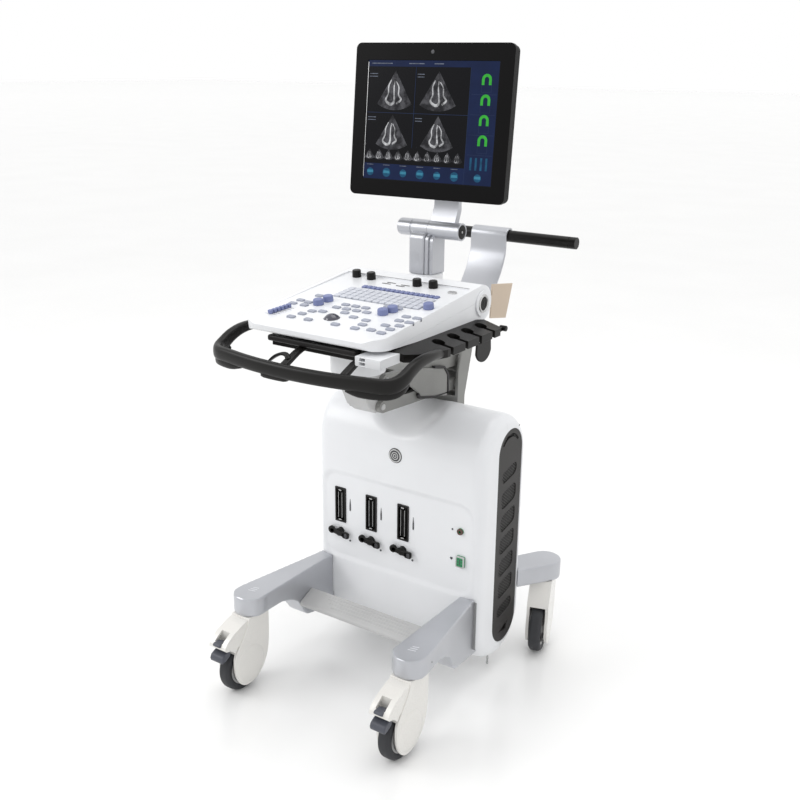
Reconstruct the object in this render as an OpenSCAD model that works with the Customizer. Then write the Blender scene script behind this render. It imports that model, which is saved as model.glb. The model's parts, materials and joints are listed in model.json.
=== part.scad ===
// Cart-mounted ultrasound machine: wheeled cabinet, parallel lift arm,
// tilted control console and folding flat monitor. Millimetres, +Z up,
// the front faces -Y, the floor is z = 0.

/* [Cabinet] */
// Cabinet width, side to side
cab_w = 488; // [480:1:496]
// Cabinet depth, front to back
cab_d = 220; // [212:2:224]
// Gap between the floor and the underside of the cabinet
cab_z0 = 38; // [34:1:44]
// Cabinet height
cab_h = 640; // [630:1:650]
// Rounding of the cabinet edges
cab_fillet = 30; // [20:1:36]
// Thickness of the cabinet covers
wall = 3.5; // [2.5:0.25:4.5]
// Radius of the saddle in the cabinet top
saddle_r = 130; // [124:1:134]

/* [Running gear] */
// Radius of the caster wheels
wheel_r = 62.5; // [60:0.5:63.5]
// Width of the tyres
tyre_w = 32; // [26:1:34]
// Distance from the swivel axis to the axle
trail = 46; // [42:1:48]
// Height of the top of the legs
leg_top = 240; // [236:1:246]

/* [Lift] */
// Length of the two parallel links between their pins
link_len = 320; // [318:0.5:322]
// Radius of the pins of the lift
lift_pin_r = 8; // [7:0.5:9]

/* [Console] */
// Width of the control console
con_w = 364; // [356:2:368]
// Tilt of the control deck towards the operator
con_tilt = 6; // [5:0.25:7]
// Radius of the roll along the back of the console
roll_r = 42; // [41:0.5:44]
// Radius of the trackball
ball_r = 20; // [18:0.5:20.5]
// Height of the black knobs
knob_h = 17; // [12:1:22]
// Height the keys stand above the deck
key_rise = 3; // [2.5:0.25:4]

/* [Monitor] */
// Width of the monitor housing
mon_w = 408; // [396:2:412]
// Height of the monitor housing
mon_h = 348; // [336:2:352]
// Width of the visible screen
screen_w = 338; // [330:1:344]
// Height of the visible screen
screen_h = 270; // [262:1:276]
// Backward tilt of the monitor
mon_tilt = 5.8; // [2:0.2:10]

/* [Which piece] */
// Piece to draw

/* [Hidden] */
$fn = 48;
gap = 0.3;
fit = 0.05;
cab_y = 82;
cab_r = cab_d / 2;
front_y = cab_y - cab_r;
rear_y = cab_y + cab_r;
low_z = cab_z0 + cab_r;
high_z = cab_z0 + cab_h - cab_r;
socket_x = [-171, -74.5, 22];
socket_z = [338, 433];
lever_z = 311;
leg_low = 192;
front_stem = [234, -303];
rear_stem = [268, 274];
rear_turn = 16.5;
axle = [-trail, wheel_r];
pedal_pin = [-100, 122];
link_a1 = [177, 700];
link_a2 = [190, 760];
link_rise = 4;
link_step = link_len * [-cos(link_rise), sin(link_rise)];
link_b1 = link_a1 + link_step;
link_b2 = link_a2 + link_step;
spring_foot = [184, 729];
spring_reach = 250;
spring_eye = link_a1 + spring_reach * [-cos(link_rise), sin(link_rise)];
swivel_y = -178;
con_origin = [0, 50, 946];
deck_w = 38;
deck_t = 8;
con_front = [-398, 25];
con_front_r = 12;
hinge_y = 147;
hinge_z = 1084;
hinge_r = 21;
arm_x = -32;
mon_at = [-8, 107, 1335];
mon_turn = 4.2;
tilt_pin = [48, -95];

// ---------- shared helpers ----------

// Draws a profile given as (y, z) and stretches it along X.
module along_x(len) {
    rotate([90, 0, 90])
        linear_extrude(len, center = true)
            children();
}

// Same, between two X positions.
module span_x(x0, x1) {
    translate([(x0 + x1) / 2, 0, 0])
        along_x(x1 - x0)
            children();
}

// A round bar along X through (y, z).
module rod_x(yz, r, x0, x1) {
    span_x(x0, x1)
        translate(yz)
            circle(r);
}

// A round bar along Y through (x, z).
module rod_y(xz, r, y0, y1) {
    translate([xz[0], y0, xz[1]])
        rotate([-90, 0, 0])
            cylinder(r = r, h = y1 - y0);
}

// A box given by its two corners.
module block(a, b) {
    translate(a)
        cube(b - a);
}

// Rectangle with rounded corners, centred.
module rounded(w, d, r) {
    square([w - 2 * r, d], center = true);
    square([w, d - 2 * r], center = true);
    for (x = [-1, 1], y = [-1, 1])
        translate([x * (w / 2 - r), y * (d / 2 - r)])
            circle(r);
}

// Two circles joined by straight flanks, which lie a hair inside the
// tangents so that they cross the circles cleanly.
module capsule2d(p, pr, q, qr) {
    d = q - p;
    a = atan2(d[1], d[0]);
    b = acos((pr - qr) / norm(d));
    up = [cos(a + b), sin(a + b)];
    low = [cos(a - b), sin(a - b)];
    translate(p)
        circle(pr);
    translate(q)
        circle(qr);
    polygon([
        p + (pr - 0.03) * up,
        q + (qr - 0.03) * up,
        q + (qr - 0.03) * low,
        p + (pr - 0.03) * low
    ]);
}

// Copies its children to the left side as well.
module both_sides() {
    children();
    mirror([1, 0, 0])
        children();
}

// ---------- cabinet ----------

// The cabinet as a solid, shrunk by i on every side.
module cabinet_solid(i) {
    w = cab_w - 2 * i;
    d = cab_d - 2 * i;
    translate([0, cab_y, low_z])
        linear_extrude(high_z - low_z)
            rounded(w, d, cab_fillet - i);
    for (end = [[low_z, -1], [high_z, 1]])
        translate([0, cab_y, end[0]])
            rotate([0, 90, 0])
                rotate([0, 0, end[1] > 0 ? 90 : -90])
                    rotate_extrude(angle = 180)
                        cabinet_section(w, d, cab_fillet - i);
}

// Half of the rounded cross-section, for the rolled top and bottom.
module cabinet_section(w, d, r) {
    intersection() {
        rounded(d, w, r);
        translate([0, -w])
            square([d, 2 * w]);
    }
}

// The hollow in the cabinet top that clears the lift arm.
module saddle(extra) {
    translate([0, front_y, 745])
        rotate([-70, 0, 0])
            cylinder(r = saddle_r + extra, h = 500, center = true);
}

// The hollow cabinet skin with its openings.
module cabinet_skin() {
    difference() {
        cabinet_solid(0);
        saddle(0);
        difference() {
            cabinet_solid(wall);
            saddle(wall);
        }
        vent_opening(0.15);
        skin_openings();
    }
}

module skin_openings() {
    for (x = socket_x)
        block([x - 16.8, front_y - 5, socket_z[0] - 0.3],
              [x + 16.8, front_y + 10, socket_z[1] + 0.3]);
    for (x = socket_x)
        rod_y([x, lever_z], 11 + fit, front_y - 5, front_y + 10);
    rod_y([187, 407], 8.3, front_y - 5, front_y + 10);
    block([178.7, front_y - 5, 314.7], [201.3, front_y + 10, 343.3]);
    block([-150.3, rear_y - 10, 169.7], [-101.7, rear_y + 5, 198.3]);
    rod_y([-60, 184], 3.3, rear_y - 10, rear_y + 5);
    block([-62.5, 155, 560], [62.5, rear_y + 20, 700]);
    for (x = [-90, 90], i = [-3:3])
        block([x - 36, rear_y - 10, 420 + i * 12 - 3],
              [x + 36, rear_y + 5, 420 + i * 12 + 3]);
    both_sides()
        bolt_set(0.3);
}

// The bolts that tie the legs through the skin to the frame.
module bolt_set(extra) {
    for (z = [135, 210])
        rod_y([213, z], 8 + extra, front_y - 52, front_y + 30);
    for (x = [196, 222])
        rod_y([x, 215], 6 + extra, rear_y - 30, rear_y + 16);
}

module front_cover() {
    color("white")
        difference() {
            intersection() {
                cabinet_skin();
                block([-300, front_y - 5, 0], [300, cab_y - 0.15, 700]);
            }
            block([-222, front_y - 5, 247], [222, front_y + 1, 478]);
        }
}

module rear_cover() {
    color("white")
        intersection() {
            cabinet_skin();
            block([-300, cab_y + 0.15, 0], [300, rear_y + 5, 700]);
        }
}

// The stadium outline of the side vents, in (y, z).
module vent_outline(extra) {
    capsule2d([105, 130], 58 + extra, [105, 582], 58 + extra);
}

module vent_opening(extra) {
    both_sides()
        span_x(cab_w / 2 - 8, cab_w / 2 + 5)
            vent_outline(extra);
}

// One slanted slot of the vent, in (y, z).
module vent_slot(z, half) {
    capsule2d([105 - half, z - 18], 15, [105 + half, z + 14], 15);
}

module vent_panels() {
    color("dimgray")
        both_sides()
            difference() {
                span_x(cab_w / 2 - 4, cab_w / 2 - 1)
                    intersection() {
                        vent_outline(0);
                        translate([105, cab_z0 + cab_h / 2])
                            square([2 * cab_fillet + 48, cab_h], center = true);
                    }
                span_x(cab_w / 2 - 2.2, cab_w / 2)
                    for (i = [0:6])
                        vent_slot(160 + i * 60, 30);
            }
}

module probe_sockets() {
    color("black")
        for (x = socket_x)
            difference() {
                block([x - 16.5, front_y + 1.5, socket_z[0]],
                      [x + 16.5, front_y + 34, socket_z[1]]);
                block([x - 12.5, front_y, socket_z[0] + 5],
                      [x + 12.5, front_y + 22, socket_z[1] - 5]);
            }
    color("silver")
        for (x = socket_x, s = [-1, 1])
            block([x + s * 4 - 1.2, front_y + 8, socket_z[0] + 9],
                  [x + s * 4 + 1.2, front_y + 22.5, socket_z[1] - 9]);
}

module side_sockets() {
    color("green")
        difference() {
            block([179, front_y + 0.5, 315], [201, front_y + 30, 343]);
            block([183, front_y, 319], [197, front_y + 18, 339]);
        }
    color("peru")
        difference() {
            rod_y([187, 407], 8, front_y - 1, front_y + 30);
            rod_y([187, 407], 3.2, front_y - 2, front_y + 20);
        }
}

module lock_lever(i) {
    color("dimgray")
        translate([socket_x[i], 0, lever_z]) {
            rod_y([0, 0], 11, front_y - 3, front_y + 18);
            rotate([90, 0, 0])
                translate([0, 0, -front_y + 3])
                    linear_extrude(8)
                        difference() {
                            union() {
                                rounded(65, 12, 5.9);
                                circle(11);
                            }
                            circle(4);
                        }
        }
}

module lock_lever_1() { lock_lever(0); }
module lock_lever_2() { lock_lever(1); }
module lock_lever_3() { lock_lever(2); }

// ---------- inside the cabinet ----------

module base_frame() {
    color("gray") {
        difference() {
            block([-226, 2, 128], [226, 162, 140]);
            block([-180, 40, 120], [180, 130, 150]);
        }
        both_sides() {
            block([190, 2, 140], [226, 12, 226]);
            block([186, 152, 140], [226, 162, 226]);
            bolt_set(0);
        }
        difference() {
            block([-56, 148, 140], [56, 154, 640]);
            block([-38, 140, 240], [38, 160, 560]);
        }
    }
}

module power_supply() {
    color("silver")
        block([-172, 100, 150], [-64, 147, 232]);
    color("black")
        difference() {
            block([-150, 147, 170], [-102, rear_y + 0.5, 198]);
            block([-140, 172, 176], [-112, rear_y + 2, 192]);
        }
    color("gold") {
        rod_y([-60, 184], 2.6, 160, rear_y + 2);
        rod_y([-60, 184], 3, rear_y + 1, rear_y + 16);
    }
    color("silver")
        block([-66, 147, 178], [-57, 162, 190]);
}

module board_cage() {
    color("silver")
        difference() {
            block([-170, 50, 290], [170, 140, 480]);
            block([-167, 45, 293], [167, 137, 477]);
        }
    color("darkgreen")
        for (i = [0:7])
            block([-147 + i * 42 - 1, 54, 293], [-147 + i * 42 + 1, 137, 470]);
}

module cooling_fans() {
    color("black")
        for (x = [-90, 90])
            translate([x, 160, 420])
                rotate([-90, 0, 0]) {
                    difference() {
                        translate([-40, -40, 0])
                            cube([80, 80, 22]);
                        translate([0, 0, -1])
                            cylinder(r = 37, h = 24);
                    }
                    cylinder(r = 15, h = 18);
                    for (a = [0:60:300])
                        rotate([0, 0, a])
                            translate([14, -1, 4])
                                rotate([30, 0, 0])
                                    cube([21, 2, 13]);
                    for (a = [45:90:315])
                        rotate([0, 0, a])
                            translate([12, -1.5, 0])
                                cube([27, 3, 2]);
                }
}

// Drag chain that earths the cart to the floor.
module earth_chain() {
    color("silver")
        translate([214, 83, 0]) {
            for (i = [0:4])
                translate([0, 0, 6 + i * 6.5])
                    rotate([90, 0, 90 * (i % 2)])
                        linear_extrude(1.8, center = true)
                            difference() {
                                rounded(6, 9.5, 2.9);
                                rounded(2.2, 5.7, 1);
                            }
            translate([0, 0, 33.5])
                cylinder(r = 2.5, h = cab_z0 - 33.7);
        }
}

// ---------- legs and footrest ----------

module front_leg() {
    x = front_stem[0];
    y = front_stem[1];
    difference() {
        union() {
            intersection() {
                span_x(180, 290)
                    polygon([
                        [y, leg_low], [y, leg_top], [20, leg_top], [20, 88],
                        [-28, 88], [-136, 112], [-149, 125], [-170, 162],
                        [-194, 178], [-236, leg_low]
                    ]);
                linear_extrude(300)
                    polygon([[194, 30], [232, 30], [232, -28], [x + 41, y + 8],
                             [x + 30, y], [194, y + 10]]);
            }
            translate([x, y, leg_low])
                cylinder(r = 42, h = leg_top - leg_low);
        }
        cabinet_solid(-0.2);
        translate([x, y, leg_low - 1])
            cylinder(r = 8 + fit, h = 37);
        for (z = [135, 210])
            rod_y([213, z], 8 + fit, front_y - 53, front_y + 10);
    }
}

module front_legs() {
    color("silver")
        both_sides()
            front_leg();
}

module rear_leg() {
    x = rear_stem[0];
    y = rear_stem[1];
    difference() {
        translate([0, 0, leg_low])
            linear_extrude(leg_top - leg_low)
                capsule2d([x, y], 42, [198, 165], 38);
        cabinet_solid(-0.2);
        translate([x, y, leg_low - 1])
            cylinder(r = 8 + fit, h = 37);
        for (bx = [196, 222])
            rod_y([bx, 215], 6 + fit, rear_y - 10, rear_y + 17);
    }
}

module rear_legs() {
    color("silver")
        both_sides()
            rear_leg();
}

module footrest() {
    color("lightgray")
        difference() {
            span_x(-193.8, 193.8)
                polygon([[-120, 183], [-164, 162], [-168, 155], [-164, 149],
                         [-120, 168]]);
            for (i = [0:3])
                span_x(-186, 186)
                    translate([-128 - i * 9, 179.2 - i * 4.3])
                        circle(1.6, $fn = 16);
        }
}

// ---------- casters (drawn with the stem at the origin, heading -Y) ----------

// The hood and its side plates, as a (y, z) profile.
module hood_profile() {
    difference() {
        translate(axle)
            circle(71);
        translate([axle[0] - 80, -20])
            square([160, wheel_r + 44]);
    }
    translate(axle)
        circle(50);
    polygon([[-98, 106], [-80, 138], [-60, 158], [-33, 186], [-26, 191.5],
             [26, 191.5], [33, 184], [33, 150], [14, 106], [-4, 60], [-88, 60]]);
}

module caster_fork(ears, reach) {
    difference() {
        union() {
            intersection() {
                along_x(56)
                    hood_profile();
                cylinder(r = reach, h = 300);
            }
            translate([0, 0, 150])
                cylinder(r = 8, h = 76);
            if (ears)
                pedal_ears();
        }
        rod_x(axle, 66, -20, 20);
    }
    rod_x(axle, 5, -22, 22);
}

// Ears and pin that carry the brake pedal.
module pedal_ears() {
    for (s = [-1, 1])
        span_x(s > 0 ? 20 : -28, s > 0 ? 28 : -20)
            capsule2d(pedal_pin, 8, [-70, 128], 14);
    rod_x(pedal_pin, 4, -21, 21);
}

module caster_wheel() {
    translate([0, axle[0], axle[1]])
        rotate([0, 90, 0])
            rotate_extrude() {
                difference() {
                    translate([5 + fit, -tyre_w / 2])
                        square([wheel_r - 5 - fit - 6, tyre_w]);
                    translate([18, 6])
                        square([26, 30]);
                    translate([18, -36])
                        square([26, 30]);
                    translate([0, tyre_w / 2 - 1])
                        square([9, 2]);
                }
                intersection() {
                    translate([wheel_r - 20, 0])
                        rounded(40, tyre_w, 9);
                    translate([44, -tyre_w])
                        square([40, 2 * tyre_w]);
                }
            }
}

module brake_pedal() {
    difference() {
        span_x(-19.6, 19.6) {
            translate(pedal_pin)
                circle(8);
            polygon([[-107, 118], [-117, 144], [-122, 160], [-118, 166],
                     [-111, 163], [-94, 127]]);
            polygon([[-103, 114.5], [-101, 128], [-126, 133], [-130, 128],
                     [-113, 97], [-107, 97]]);
        }
        rod_x(pedal_pin, 4 + fit, -30, 30);
    }
}

module at_front(s) {
    translate([s * front_stem[0], front_stem[1], 0])
        children();
}

module at_rear(s) {
    translate([s * rear_stem[0], rear_stem[1], 0])
        rotate([0, 0, s * rear_turn])
            children();
}

module caster_fork_fl() { color("ivory") at_front(-1) caster_fork(true, 96); }
module caster_fork_fr() { color("ivory") at_front(1) caster_fork(true, 96); }
module caster_fork_rl() { color("ivory") at_rear(-1) caster_fork(false, 100); }
module caster_fork_rr() { color("ivory") at_rear(1) caster_fork(false, 100); }
module caster_wheel_fl() { color("dimgray") at_front(-1) caster_wheel(); }
module caster_wheel_fr() { color("dimgray") at_front(1) caster_wheel(); }
module caster_wheel_rl() { color("dimgray") at_rear(-1) caster_wheel(); }
module caster_wheel_rr() { color("dimgray") at_rear(1) caster_wheel(); }
module brake_pedal_left() { color("dimgray") at_front(-1) brake_pedal(); }
module brake_pedal_right() { color("dimgray") at_front(1) brake_pedal(); }

// ---------- lift ----------

module lift_yoke() {
    color("gray") {
        difference() {
            along_x(120)
                polygon([[158, 600], [rear_y, 600], [rear_y, 664], [228, 795],
                         [222, 806], [204, 808], [172, 788], [158, 735],
                         [158, 668]]);
            along_x(104)
                polygon([[150, 672], [186, 672], [214, 775], [206, 800],
                         [196, 815], [150, 800]]);
        }
        rod_x(link_a1, lift_pin_r, -54, 54);
        rod_x(link_a2, lift_pin_r, -54, 54);
        rod_x(spring_foot, 4, -54, 54);
    }
}

// One link drawn level: pins at the origin and at -link_len.
module link_bars(plate_w, open_end) {
    difference() {
        union() {
            for (s = [-1, 1])
                span_x(s > 0 ? 32 : -44, s > 0 ? 44 : -32)
                    capsule2d([0, 0], 14, [-link_len, 0], 14);
            for (s = [-1, 1])
                rod_x([0, 0], 14, s > 0 ? 32 : -51.7, s > 0 ? 51.7 : -32);
            along_x(65)
                translate([-link_len + 48, plate_w])
                    square([link_len - 96, 4]);
        }
        rod_x([0, 0], lift_pin_r + fit, -60, 60);
        rod_x([-link_len, 0], open_end, -60, 60);
    }
}

module lower_link() {
    color("gray")
        translate([0, link_a1[0], link_a1[1]])
            rotate([-link_rise, 0, 0]) {
                link_bars(-14, lift_pin_r + fit);
                rod_x([-spring_reach, 0], 4, -33, 33);
            }
}

module upper_link() {
    color("gray")
        translate([0, link_a2[0], link_a2[1]])
            rotate([-link_rise, 0, 0])
                link_bars(10, lift_pin_r + gap);
}

module lift_head() {
    color("gray")
        difference() {
            union() {
                span_x(-31.7, 31.7)
                    polygon([[-130, 708], [-118, 722], [-112, 790], [-122, 811],
                             [-200, 811], [-208, 780], [-180, 728],
                             [-154, 708]]);
                rod_x(link_b1, lift_pin_r, -46, 46);
                rod_x(link_b2, lift_pin_r, -46, 46);
                translate([0, swivel_y, 790])
                    cylinder(r = 40, h = 21);
                translate([0, swivel_y, 800])
                    cylinder(r = 20, h = 75);
            }
        }
}

// The gas spring lies on the line from its foot to its eye.
module spring_frame() {
    d = spring_eye - spring_foot;
    translate([0, spring_foot[0], spring_foot[1]])
        rotate([atan2(d[1], d[0]), 0, 0])
            children();
}

module gas_spring_tube() {
    color("black")
        spring_frame()
            difference() {
                union() {
                    rod_x([0, 0], 10, -8, 8);
                    rod_y([0, 0], 9, 6, 176);
                }
                rod_x([0, 0], 4 + fit, -20, 20);
                rod_y([0, 0], 4 + fit, 30, 180);
            }
}

module gas_spring_rod() {
    d = norm(spring_eye - spring_foot);
    color("silver")
        spring_frame()
            difference() {
                union() {
                    rod_y([0, 0], 4, 90, d - 6);
                    rod_x([d, 0], 8.8, -8, 8);
                }
                rod_x([d, 0], 5.6, -20, 20);
            }
}

// ---------- chassis handle ----------

// Centre line of the curved bracket sheet, in (y, z).
bracket_pts = [[236, 806], [258, 846], [282, 877], [309, 903], [336, 929],
               [358, 957], [375, 987], [388, 1012], [402, 1030]];

module handle_bracket() {
    color("silver")
        difference() {
            union() {
                along_x(130)
                    for (i = [0:len(bracket_pts) - 2])
                        capsule2d(bracket_pts[i], 4, bracket_pts[i + 1], 4);
                along_x(130)
                    capsule2d([227, 792], 4, bracket_pts[0], 4);
            }
            along_x(121)
                polygon([[rear_y, 660], [rear_y, 664], [228.4, 795],
                         [222, 806.4], [204, 809], [190, 790]]);
            rod_x([418, 1039], 15.2, -70, 70);
        }
}

module rear_handle() {
    color("black")
        translate([0, 418, 1039])
            rotate([0, 90, 0])
                rotate_extrude()
                    difference() {
                        translate([0, -238])
                            square([15, 476]);
                        for (s = [-1, 1])
                            translate([13.5, s * 220 - 1])
                                square([3, 2]);
                    }
}

// ---------- console ----------

module console_frame() {
    translate(con_origin)
        rotate([con_tilt, 0, 0])
            children();
}

// The console as a solid, shrunk by i on every side.
module console_solid(i) {
    intersection() {
        along_x(con_w + 10)
            capsule2d([0, 0], roll_r - i, con_front, con_front_r - i);
        translate([0, -139, -80])
            linear_extrude(200)
                rounded(con_w - 2 * i, 540 - 2 * i, 44 - i);
    }
}

menu_at = [[-131, -51], [-87, -53], [42, -53], [84, -50]];
gain_at = [[-80, -263], [-76, -233], [90, -258], [98, -233], [157, -183]];
ball_at = [5, -325];
power_at = [145, -67];
control_at = [
    [-117, -213], [-135, -257], [-137, -282], [-105, -282], [-109, -262],
    [-71, -331], [-80, -357], [-62, -308],
    [-39, -300], [38, -356], [45, -302], [-34, -356],
    [-22, -240], [5, -240], [32, -240],
    [-29, -264], [-2, -264], [25, -264], [52, -264], [10, -286],
    [82, -308], [91, -333], [90, -358], [145, -251], [172, -251],
    [146, -279], [172, -280], [137, -316], [165, -306], [127, -352],
    [160, -332], [156, -358], [71, -212], [100, -214]
];

// Puts its children at a spot of the deck surface.
module on_deck(uv) {
    translate([uv[0], uv[1], deck_w])
        children();
}

module key_wells() {
    translate([-70, -119, deck_w - 5])
        cube([208, 16, 10]);
    translate([-90, -201, deck_w - 5])
        cube([232, 74, 10]);
    for (p = control_at)
        on_deck(p)
            translate([0, 0, -5])
                linear_extrude(10)
                    rounded(20, 13, 3.4);
    for (i = [0:5])
        on_deck([-136 + i * 1.8, -358 + i * 10 - 0.5])
            translate([-15.5, -1.5, -deck_t - 1])
                cube([31, 3, deck_t + 2]);
    on_deck(power_at)
        translate([0, 0, -5])
            linear_extrude(10)
                rounded(22.6, 15.6, 7.7);
    for (p = concat(menu_at, gain_at))
        on_deck(p)
            translate([0, 0, -deck_t - 1])
                cylinder(r = 3 + fit, h = 20);
}

module ball_place() {
    translate([ball_at[0], ball_at[1], deck_w + 10 - ball_r])
        children();
}

module console_top() {
    color("white")
        console_frame()
            difference() {
                union() {
                    difference() {
                        intersection() {
                            console_solid(0);
                            block([-200, -500, 8], [200, 100, 100]);
                        }
                        intersection() {
                            console_solid(wall);
                            block([-200, -500, 0],
                                  [200, 100, deck_w - deck_t]);
                        }
                    }
                    translate([ball_at[0], ball_at[1], 14])
                        cylinder(r = 25, h = deck_w - 16);
                }
                block([-172, -392, deck_w], [172, -34, deck_w + 20]);
                key_wells();
                ball_place()
                    sphere(ball_r + 0.5);
            }
}

module console_base() {
    color("white") {
        console_frame() {
            intersection() {
                difference() {
                    console_solid(0);
                    console_solid(wall);
                }
                block([-200, -500, -100], [200, 100, 7.7]);
            }
            both_sides() {
                rod_x([0, 0], 30, con_w / 2 + 0.3, con_w / 2 + 4);
                block([con_w / 2 - 1, -24, -20], [con_w / 2 + 2, 24, 4]);
            }
        }
        pedestal();
        translate([arm_x, hinge_y, 940])
            cylinder(r = 40, h = 36.7);
        block([arm_x - 36, 88.5, 934], [arm_x + 36, 140, 952]);
        translate([arm_x, hinge_y, 970])
            cylinder(r = 15, h = 40);
    }
}

module pedestal() {
    difference() {
        union() {
            translate([0, swivel_y, 811.5])
                cylinder(r = 62, h = 92);
            block([-30, swivel_y - 40, 895], [30, swivel_y + 40, 912]);
        }
        translate([0, swivel_y, 811])
            cylinder(r = 20 + fit, h = 65);
    }
}

// Plan of the bow handle around the front of the console.
module bow_plan() {
    difference() {
        translate([0, -247])
            rounded(490, 300, 62);
        translate([0, -247])
            rounded(446, 256, 40);
        translate([-300, -200])
            square([600, 300]);
    }
}

module front_handle() {
    color("black") {
        difference() {
            intersection() {
                translate([0, 0, 800])
                    linear_extrude(140)
                        bow_plan();
                along_x(600)
                    polygon([[-400, 847], [-400, 888], [-330, 892],
                             [-190, 908], [-190, 886], [-330, 864],
                             [-352, 847]]);
            }
            block([-73, -400, 868], [-22, -384, 893]);
        }
        difference() {
            union() {
                block([-225, -222, 884], [225, -204, 902]);
                block([-117, -335, 882], [111, -204, 896]);
                block([-35, -376, 882], [-15, -330, 904]);
                block([172, -376, 870], [192, -355, 884]);
            }
            translate([0, swivel_y, 800])
                cylinder(r = 62.3, h = 120);
        }
    }
    color("white")
        difference() {
            block([110, -372, 884], [198, -300, 905]);
            for (x = [128, 158])
                block([x, -380, 892], [x + 16, -360, 900]);
            block([109, -299, 880], [110.2, -340, 897]);
        }
}

module release_lever() {
    color("silver")
        difference() {
            span_x(-71, -24) {
                translate([-389, 886])
                    circle(5);
                translate([-394, 871])
                    square([5, 15]);
            }
            rod_x([-389, 886], 2 + fit, -80, 0);
        }
}

module tray_outline() {
    difference() {
        translate([214, -82])
            rounded(56, 248, 14);
        for (y = [-99, -28])
            translate([242, y])
                circle(15);
    }
}

module probe_tray() {
    color("black") {
        difference() {
            translate([0, 0, 881])
                linear_extrude(19)
                    tray_outline();
            for (y = [-168, -118, -66, -6])
                translate([210, y, 875])
                    linear_extrude(40)
                        rounded(26, 34, 12.5);
            translate([arm_x, -300, 870])
                cube([290, 101, 60]);
        }
        difference() {
            rod_x([-40, 879], 41, 236, 241);
            block([230, -100, 886], [245, 20, 930]);
            rod_x([-40, 866], 14, 230, 245);
        }
        rod_x([71, 882], 6, 228, 240);
        block([228, 38, 881], [240, 71, 887]);
        block([182.2, -60, 890], [188, 20, 900]);
    }
}

module rear_flap() {
    color("beige")
        span_x(158, 162) {
            polygon([[132, 974], [231, 960], [203, 880], [128, 893]]);
            translate([92.4, 925])
                square([45, 24]);
        }
}

module trackball() {
    color("dimgray")
        console_frame()
            ball_place()
                sphere(ball_r);
}

// One key cap between well floor and top.
module key_cap(w, d, r) {
    translate([0, 0, -2.6])
        linear_extrude(key_rise + 2.6)
            rounded(w, d, r);
}

module function_keys() {
    color("lightsteelblue")
        console_frame()
            for (i = [0:15])
                on_deck([-63.5 + i * 13, -111])
                    key_cap(11, 14, 2);
}

module letter_keys() {
    color("gainsboro")
        console_frame()
            for (r = [0:3], i = [0:12])
                on_deck([-81 + i * 17.8, -191 + r * 18])
                    key_cap(15.8, 15.4, 2);
}

module control_keys() {
    color("gainsboro")
        console_frame()
            for (p = control_at)
                on_deck(p)
                    key_cap(19.2, 12.2, 3);
}

module slide_pots() {
    color("lightsteelblue")
        console_frame()
            for (i = [0:5])
                on_deck([-136 + i * 1.8, -358 + i * 10 - 0.5]) {
                    translate([-5, -4, 0.4])
                        cube([10, 8, 8]);
                    translate([-3, -1, -deck_t - 0.5])
                        cube([6, 2, deck_t + 1]);
                }
}

module power_button() {
    color("silver")
        console_frame()
            on_deck(power_at)
                key_cap(22, 15, 7.4);
}

module knob(p, r, h) {
    console_frame()
        on_deck(p) {
            translate([0, 0, -deck_t])
                cylinder(r = 3, h = deck_t + 1);
            translate([0, 0, 0.4])
                rotate_extrude($fn = 32)
                    polygon([[0, 0], [r, 0], [r - 0.8, h - 1.5],
                             [r - 2.4, h], [0, h]]);
        }
}

module menu_knob(i) { color("black") knob(menu_at[i], 11, knob_h); }
module menu_knob_1() { menu_knob(0); }
module menu_knob_2() { menu_knob(1); }
module menu_knob_3() { menu_knob(2); }
module menu_knob_4() { menu_knob(3); }
module gain_knob(i) { color("lightsteelblue") knob(gain_at[i], 12, 13); }
module gain_knob_1() { gain_knob(0); }
module gain_knob_2() { gain_knob(1); }
module gain_knob_3() { gain_knob(2); }
module gain_knob_4() { gain_knob(3); }
module gain_knob_5() { gain_knob(4); }

// ---------- monitor ----------

module monitor_arm() {
    color("silver")
        difference() {
            union() {
                block([arm_x - 31, 115, 977], [arm_x + 31, 179, 1058]);
                block([arm_x - 31, 126, 1050], [-20.3, 168, hinge_z]);
                rod_x([hinge_y, hinge_z], hinge_r, -108, -20.3);
            }
            translate([arm_x, hinge_y, 970])
                cylinder(r = 15 + fit, h = 42);
            rod_x([hinge_y, hinge_z], 8 + fit, -60, 0);
        }
}

module monitor_frame() {
    translate(mon_at)
        rotate([-mon_tilt, 0, mon_turn])
            children();
}

module monitor_neck() {
    color("silver") {
        difference() {
            union() {
                rod_x([hinge_y, hinge_z], hinge_r, -20, 66);
                rod_x([hinge_y, hinge_z], 8, -58, -10);
            }
            rod_x([hinge_y, hinge_z], 6, 60, 70);
        }
        span_x(-20, 48)
            polygon([[140, 1100], [158, 1096], [172, 1130], [172, 1220],
                     [158, 1222], [158, 1140]]);
        monitor_frame() {
            rod_x(tilt_pin, 12, -25, 25);
            rod_x(tilt_pin, 5, -34, 34);
            span_x(-25, 25)
                polygon([[44, -106], [58, -106], [66, -124], [48, -124]]);
        }
    }
}

module monitor_bezel() {
    color([0.1, 0.1, 0.12])
        monitor_frame()
            difference() {
                translate([0, 12, 0])
                    rotate([90, 0, 0])
                        linear_extrude(13)
                            rounded(mon_w, mon_h, 14);
                block([-screen_w / 2, -5, -screen_h / 2],
                      [screen_w / 2, 20, screen_h / 2]);
                block([-screen_w / 2 - 6, 1.5, -screen_h / 2 - 6],
                      [screen_w / 2 + 6, 20, screen_h / 2 + 6]);
            }
}

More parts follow.
